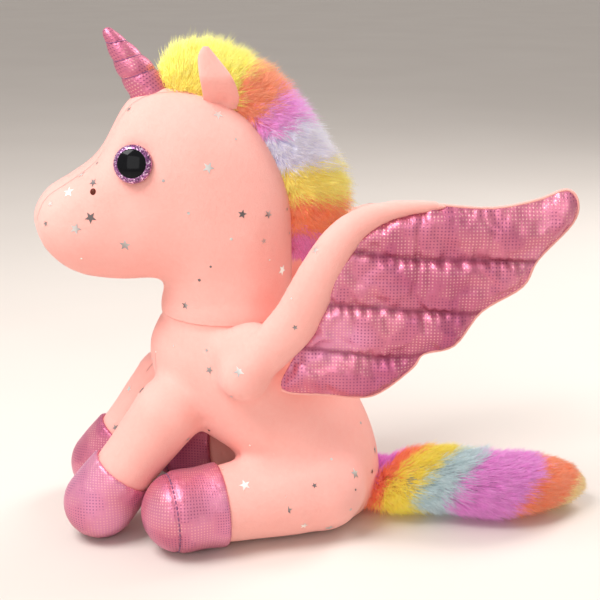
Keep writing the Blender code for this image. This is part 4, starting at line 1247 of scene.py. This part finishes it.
def hairs(name, root, bend, tip, radius, root_dye, tip_dye, rng):
    """Three-sided hairs that taper to a point along (1-t)^2 root + 2t(1-t) bend + t^2 tip."""
    count = len(root)
    t = np.array((0.0, 0.4, 0.75))[None, :, None]
    middle = (1 - t) ** 2 * root[:, None] + 2 * t * (1 - t) * bend[:, None] + t * t * tip[:, None]
    heading = unit(tip - root)
    across = unit(np.cross(heading, rng.normal(size=(count, 3))))
    up = np.cross(heading, across)
    angle = np.arange(3) * TAU / 3
    spoke = np.cos(angle)[:, None] * across[:, None] + np.sin(angle)[:, None] * up[:, None]
    thick = np.array((1.0, 0.9, 0.6))[None, :, None, None] * np.reshape(radius, (-1, 1, 1, 1))
    rings = middle[:, :, None] + thick * spoke[:, None]
    points = np.concatenate((rings.reshape(count, 9, 3), tip[:, None]), axis=1)
    i = np.arange(3)
    j = (i + 1) % 3
    quads = np.concatenate([np.stack((k + i, k + j, k + 3 + j, k + 3 + i), -1) for k in (0, 3)])
    fans = np.stack((6 + i, 6 + j, np.full(3, 9)), -1)
    first = np.arange(count)[:, None, None] * 10
    made = make(name, points.reshape(-1, 3), (first + quads).reshape(-1, 4), (first + fans).reshape(-1, 3))
    share = np.array((0.0,) * 3 + (0.45,) * 3 + (0.8,) * 3 + (1.0,))[None, :, None]
    dye = root_dye[:, None] * (1 - share) + tip_dye[:, None] * share
    tag(made, "dye", np.concatenate((dye, np.ones((count, 10, 1))), -1).reshape(-1, 4))
    return made


def band_dyes(distance, bands, rng):
    """Root and tip dyes by distance, hairs near a border taking either side's dye."""
    starts = np.array([b[1] for b in bands])
    which = np.searchsorted(starts, distance + rng.normal(0.0, 1.6, len(distance)), side="right") - 1
    which = np.clip(which, 0, len(bands) - 1)
    roots = np.array([b[2] for b in bands])[which]
    tips = np.array([b[3] for b in bands])[which]
    tone = rng.uniform(0.86, 1.08, (len(distance), 1))
    return np.clip(roots * tone * 0.85, 0, 1), np.clip(tips * tone, 0, 1)


def crest_line(distances):
    """Places (Y, Z) on the crest of the head, by distance from its front."""
    crest = flow([MANE_START] + [(row[2], row[3]) for row in HEAD[4:0:-1]], 24)
    return along(crest, distances)


def mane_dome(distance, lean, reach):
    """A place over the crest: reach 1 is the outline of the mane, lean its angle to either side."""
    table = flow(MANE, 8)
    place = crest_line(distance)
    tip = np.stack([np.interp(distance, table[:, 0], table[:, k]) for k in (1, 2)], -1)
    half = np.interp(distance, table[:, 0], table[:, 3])
    side = half * np.sin(lean) * reach
    flat = place + (tip - place) * (np.cos(lean) * reach)[:, None]
    return np.column_stack((side, flat))


def build_mane():
    """Bands of long pile fanned over the crest of the head."""
    rng = np.random.default_rng(SEED)
    lean = np.linspace(-1.7, 1.7, 15)
    rows = np.linspace(1.0, 126.0, 40)
    grid_rows = np.repeat(rows, 15)
    pelt = mane_dome(grid_rows, np.tile(lean, 40), np.full(600, 0.6)).reshape(40, 15, 3)
    feet = mane_dome(rows, np.zeros(40), np.full(40, -0.06))
    rings = np.concatenate((pelt, feet[:, None]), axis=1)
    backing = outward(make("mane_pelt", *tube(rings)))
    at = np.concatenate((np.repeat(rows, 16), rows[:1], rows[-1:]))
    dark, _ = band_dyes(at, MANE_BANDS, np.random.default_rng(1))
    # painted shade under the hair: the pelt takes each band's root colour darkened to 0.7
    tag(backing, "dye", np.column_stack((dark * 0.7, np.ones(len(dark)))))
    finish_piece(backing, PILE, "head", ("mane_backing",))
    limits = [b[1] for b in MANE_BANDS] + [128.0]
    for index, (name, start, _, _) in enumerate(MANE_BANDS):
        number = int((limits[index + 1] - start) * (330))
        distance = rng.uniform(start, limits[index + 1], number)
        lean = rng.uniform(-1.85, 1.85, number)
        reach = rng.uniform(0.7, 1.0, number) ** 0.6 * rng.uniform(0.96, 1.12, number)
        root = mane_dome(distance, lean, np.full(number, 0.05))
        root[:, 0] = 9.0 * np.sin(lean) * np.minimum(1.0, 0.5 + distance / 16.0)
        swept = distance + rng.normal(4.0, 3.5, number) * smoothstep(4.0, 30.0, distance)
        tip = mane_dome(swept, lean + rng.normal(0.0, 0.12, number), reach)
        key = np.column_stack((distance, lean * 11.0))
        tip = gather(key, tip, max(8, number // 34), 0.5, rng)
        tip += rng.normal(0.0, 0.8, (number, 3)) * (1.0 + 1.6 * smoothstep(18.0, 4.0, distance))[:, None]
        bend = root * 0.45 + mane_dome(distance - 1.5, lean, reach) * 0.55
        root_dye, tip_dye = band_dyes(distance, MANE_BANDS, rng)
        fur = hairs(f"mane_{name}", root, bend, tip, rng.uniform(0.16, 0.26, number), root_dye, tip_dye, rng)
        finish_piece(fur, PILE, "head", ("mane_pile",))


def gather(key, tip, number, pull, rng):
    """Tips drawn into tufts: towards the tip of the nearest of a few leading hairs, by their roots."""
    leader = rng.choice(len(key), number, replace=False)
    nearest = ((key[:, None] - key[leader]) ** 2).sum(2).argmin(1)
    return tip + (tip[leader][nearest] - tip) * pull


def tail_line(distance):
    """The middle of the tail: along its route on the floor, as high as the pile is thick."""
    curve = flow(TAIL_ROUTE, 24)
    start = np.linalg.norm(np.subtract(TAIL_ROUTE[1], TAIL_ROUTE[0]))
    flat = along(curve, distance + start)
    end = np.linalg.norm(np.diff(curve, axis=0), axis=1).sum()
    beyond = distance + start - np.clip(distance + start, 0.0, end)
    flat = flat + np.outer(np.minimum(beyond, 0.0), unit(curve[1] - curve[0]))
    flat = flat + np.outer(np.maximum(beyond, 0.0), unit(curve[-1] - curve[-2]))
    table = np.array(TAIL_PILE)
    radius = np.interp(distance, table[:, 0], table[:, 1])
    height = radius + 0.4 - 3.0 * smoothstep(30.0, 4.0, distance)
    return np.column_stack((flat, height)), radius


def tail_place(distance, lean, reach):
    """A place round the tail: lean is the angle about its middle, reach a share of the pile's radius."""
    middle, radius = tail_line(distance)
    ahead, _ = tail_line(distance + 1.0)
    behind, _ = tail_line(distance - 1.0)
    heading = unit(ahead - behind)
    across = unit(np.cross(heading, (0.0, 0.0, 1.0)))
    up = np.cross(across, heading)
    size = (radius * reach)[:, None]
    wide = np.cos(lean) * (1.0 + 1.15 * smoothstep(46.0, 10.0, distance) * (np.cos(lean) > 0.0))
    return middle + size * (wide[:, None] * across + np.sin(lean)[:, None] * up)


def build_tail():
    """Bands of long pile round the tail's backing tube, swept towards its end."""
    rng = np.random.default_rng(SEED + 1)
    rows = np.linspace(-12.0, 116.0, 40)
    angle = np.linspace(0.0, TAU, 20, endpoint=False)
    core = tail_place(np.repeat(rows, 20), np.tile(angle, 40), np.full(800, 0.62)).reshape(40, 20, 3)
    backing = outward(make("tail_pelt", *tube(core)))
    at = np.concatenate((np.repeat(rows, 20), rows[:1], rows[-1:]))
    dark, _ = band_dyes(at, TAIL_BANDS, np.random.default_rng(2))
    move_points(backing.data, np.maximum(points_of(backing.data)[0], (-999.0, -999.0, 0.4)))
    # painted shade under the hair: the pelt takes each band's root colour darkened to 0.7
    tag(backing, "dye", np.column_stack((dark * 0.7, np.ones(len(dark)))))
    finish_piece(backing, PILE, "tail", ("tail_backing",))
    limits = [b[1] for b in TAIL_BANDS] + [116.0]
    for index, (name, start, _, _) in enumerate(TAIL_BANDS):
        number = int((limits[index + 1] - start) * (330))
        dyed = rng.uniform(start, limits[index + 1], number)
        lean = rng.uniform(0.0, TAU, number)
        distance = np.clip(dyed + TAIL_SLANT[0] * np.sin(lean) - TAIL_SLANT[1] * np.cos(lean), -14.0, 116.0)
        reach = rng.uniform(0.7, 1.0, number) ** 0.6 * rng.uniform(0.94, 1.08, number)
        root = tail_place(distance, lean, np.full(number, 0.3))
        swept = distance + rng.normal(12.0, 3.5, number) * smoothstep(-20.0, 10.0, distance)
        tip = tail_place(np.minimum(swept, 126.0), lean + rng.normal(0.0, 0.15, number), reach)
        key = np.column_stack((distance, np.cos(lean) * 14.0, np.sin(lean) * 14.0))
        tip = gather(key, tip, max(8, number // 30), 0.5, rng)
        tip += rng.normal(0.0, 0.8, (number, 3))
        bend = root * 0.4 + tail_place(distance + 4.0, lean, reach) * 0.6
        for part in (bend, tip):
            part[:, 2] = np.maximum(part[:, 2], 0.5)
        root_dye, tip_dye = band_dyes(dyed, TAIL_BANDS, rng)
        fur = hairs(f"tail_{name}", root, bend, tip, rng.uniform(0.16, 0.26, number), root_dye, tip_dye, rng)
        finish_piece(fur, PILE, "tail", ("tail_pile",))


# Stars ------------------------------------------------------------------------------------

def scatter(skin, number, apart, rng, keep):
    """Places on a skin at least apart from each other, with their normals."""
    points, normals = points_of(skin.data)
    order = rng.permutation(np.flatnonzero(keep(points)))
    chosen = np.empty((0, 3))
    index = []
    for one in order:
        if len(index) == number:
            break
        if len(chosen) and (np.linalg.norm(chosen - points[one], axis=1) < apart).any():
            continue
        chosen = np.vstack((chosen, points[one]))
        index.append(one)
    return points[index], normals[index]


def print_stars(name, skin, places, normals, sizes, rng, body, bend=None):
    """Five-pointed stars and round dots laid on a skin: radius alternates, and dots keep it even."""
    corner = 10
    angle = np.arange(corner) * TAU / corner
    count = len(places)
    across = unit(np.cross(normals, rng.normal(size=(count, 3))))
    up = np.cross(normals, across)
    star = sizes > 1.2
    inner = np.where(star, 0.42, 1.0)
    reach = sizes[:, None] * np.where(np.arange(corner) % 2 == 0, 1.0, inner[:, None])
    rim = (places[:, None] + (reach * np.cos(angle))[..., None] * across[:, None]
           + (reach * np.sin(angle))[..., None] * up[:, None])
    half = places[:, None] + (rim - places[:, None]) * 0.5
    points = np.concatenate((places[:, None], half, rim), axis=1).reshape(-1, 3)
    i = np.arange(corner)
    j = (i + 1) % corner
    fans = np.stack((np.zeros(corner, int), 1 + i, 1 + j), -1)
    quads = np.stack((1 + i, 11 + i, 11 + j, 1 + j), -1)
    first = np.arange(count)[:, None, None] * 21
    stars = make(name, points, (first + quads).reshape(-1, 4), (first + fans).reshape(-1, 3))
    settle(stars, ("SHRINKWRAP", {"target": skin, "wrap_method": "NEAREST_SURFACEPOINT",
                                  "wrap_mode": "ABOVE_SURFACE", "offset": 0.16 * MM}))
    finish_piece(stars, SILVER, body)
    if bend is not None:
        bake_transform(stars)


def star_sizes(count, rng):
    """Mostly small dots, some middling stars and a few large ones."""
    return rng.choice((0.6, 0.8, 1.6, 2.4, 3.2), count, p=(0.25, 0.2, 0.2, 0.2, 0.15))


# The toy ------------------------------------------------------------------------------------

stage_scene()
TORSO_COVER, LEG_COVERS = cover_body()
HEAD_COVER = cover_head()
for kind, side, joint, hoof, ball, rows, radius in LEGS:
    cap_hoof(kind, side, joint, hoof, radius)
build_horn()
build_face(HEAD_COVER)
build_ear(1)
build_ear(-1)
build_wings()
build_mane()
build_tail()

COVERS = {"torso": (TORSO_COVER, None), "head": (HEAD_COVER, None), **LEG_COVERS}
STAR_RNG = np.random.default_rng(SEED + 2)
COUNTS = {"torso": 52, "head": 60, "front": 11, "hind": 9, "wing": 13}
STARS_APART = 8.5


def bare(points):
    """Where stars may go: off the seat, the neck seam and the crest."""
    crest = (np.abs(points[:, 0]) < 12.0) & (points[:, 1] > -92.0) & (points[:, 2] > 135.0)
    neck = np.abs(points[:, 2] - 122.0) < 5.0
    return (points[:, 2] > 5.0) & ~crest & ~neck


for body, (cover, bend) in COVERS.items():
    spots, facing = scatter(cover, COUNTS[body.split("_")[0]], STARS_APART, STAR_RNG, bare)
    sizes = star_sizes(len(spots), STAR_RNG)
    whole = None if bend is None else (("torso", body), *bend)
    print_stars(f"{body}_stars", cover, spots, facing, sizes, STAR_RNG, body if bend is None else None, whole)
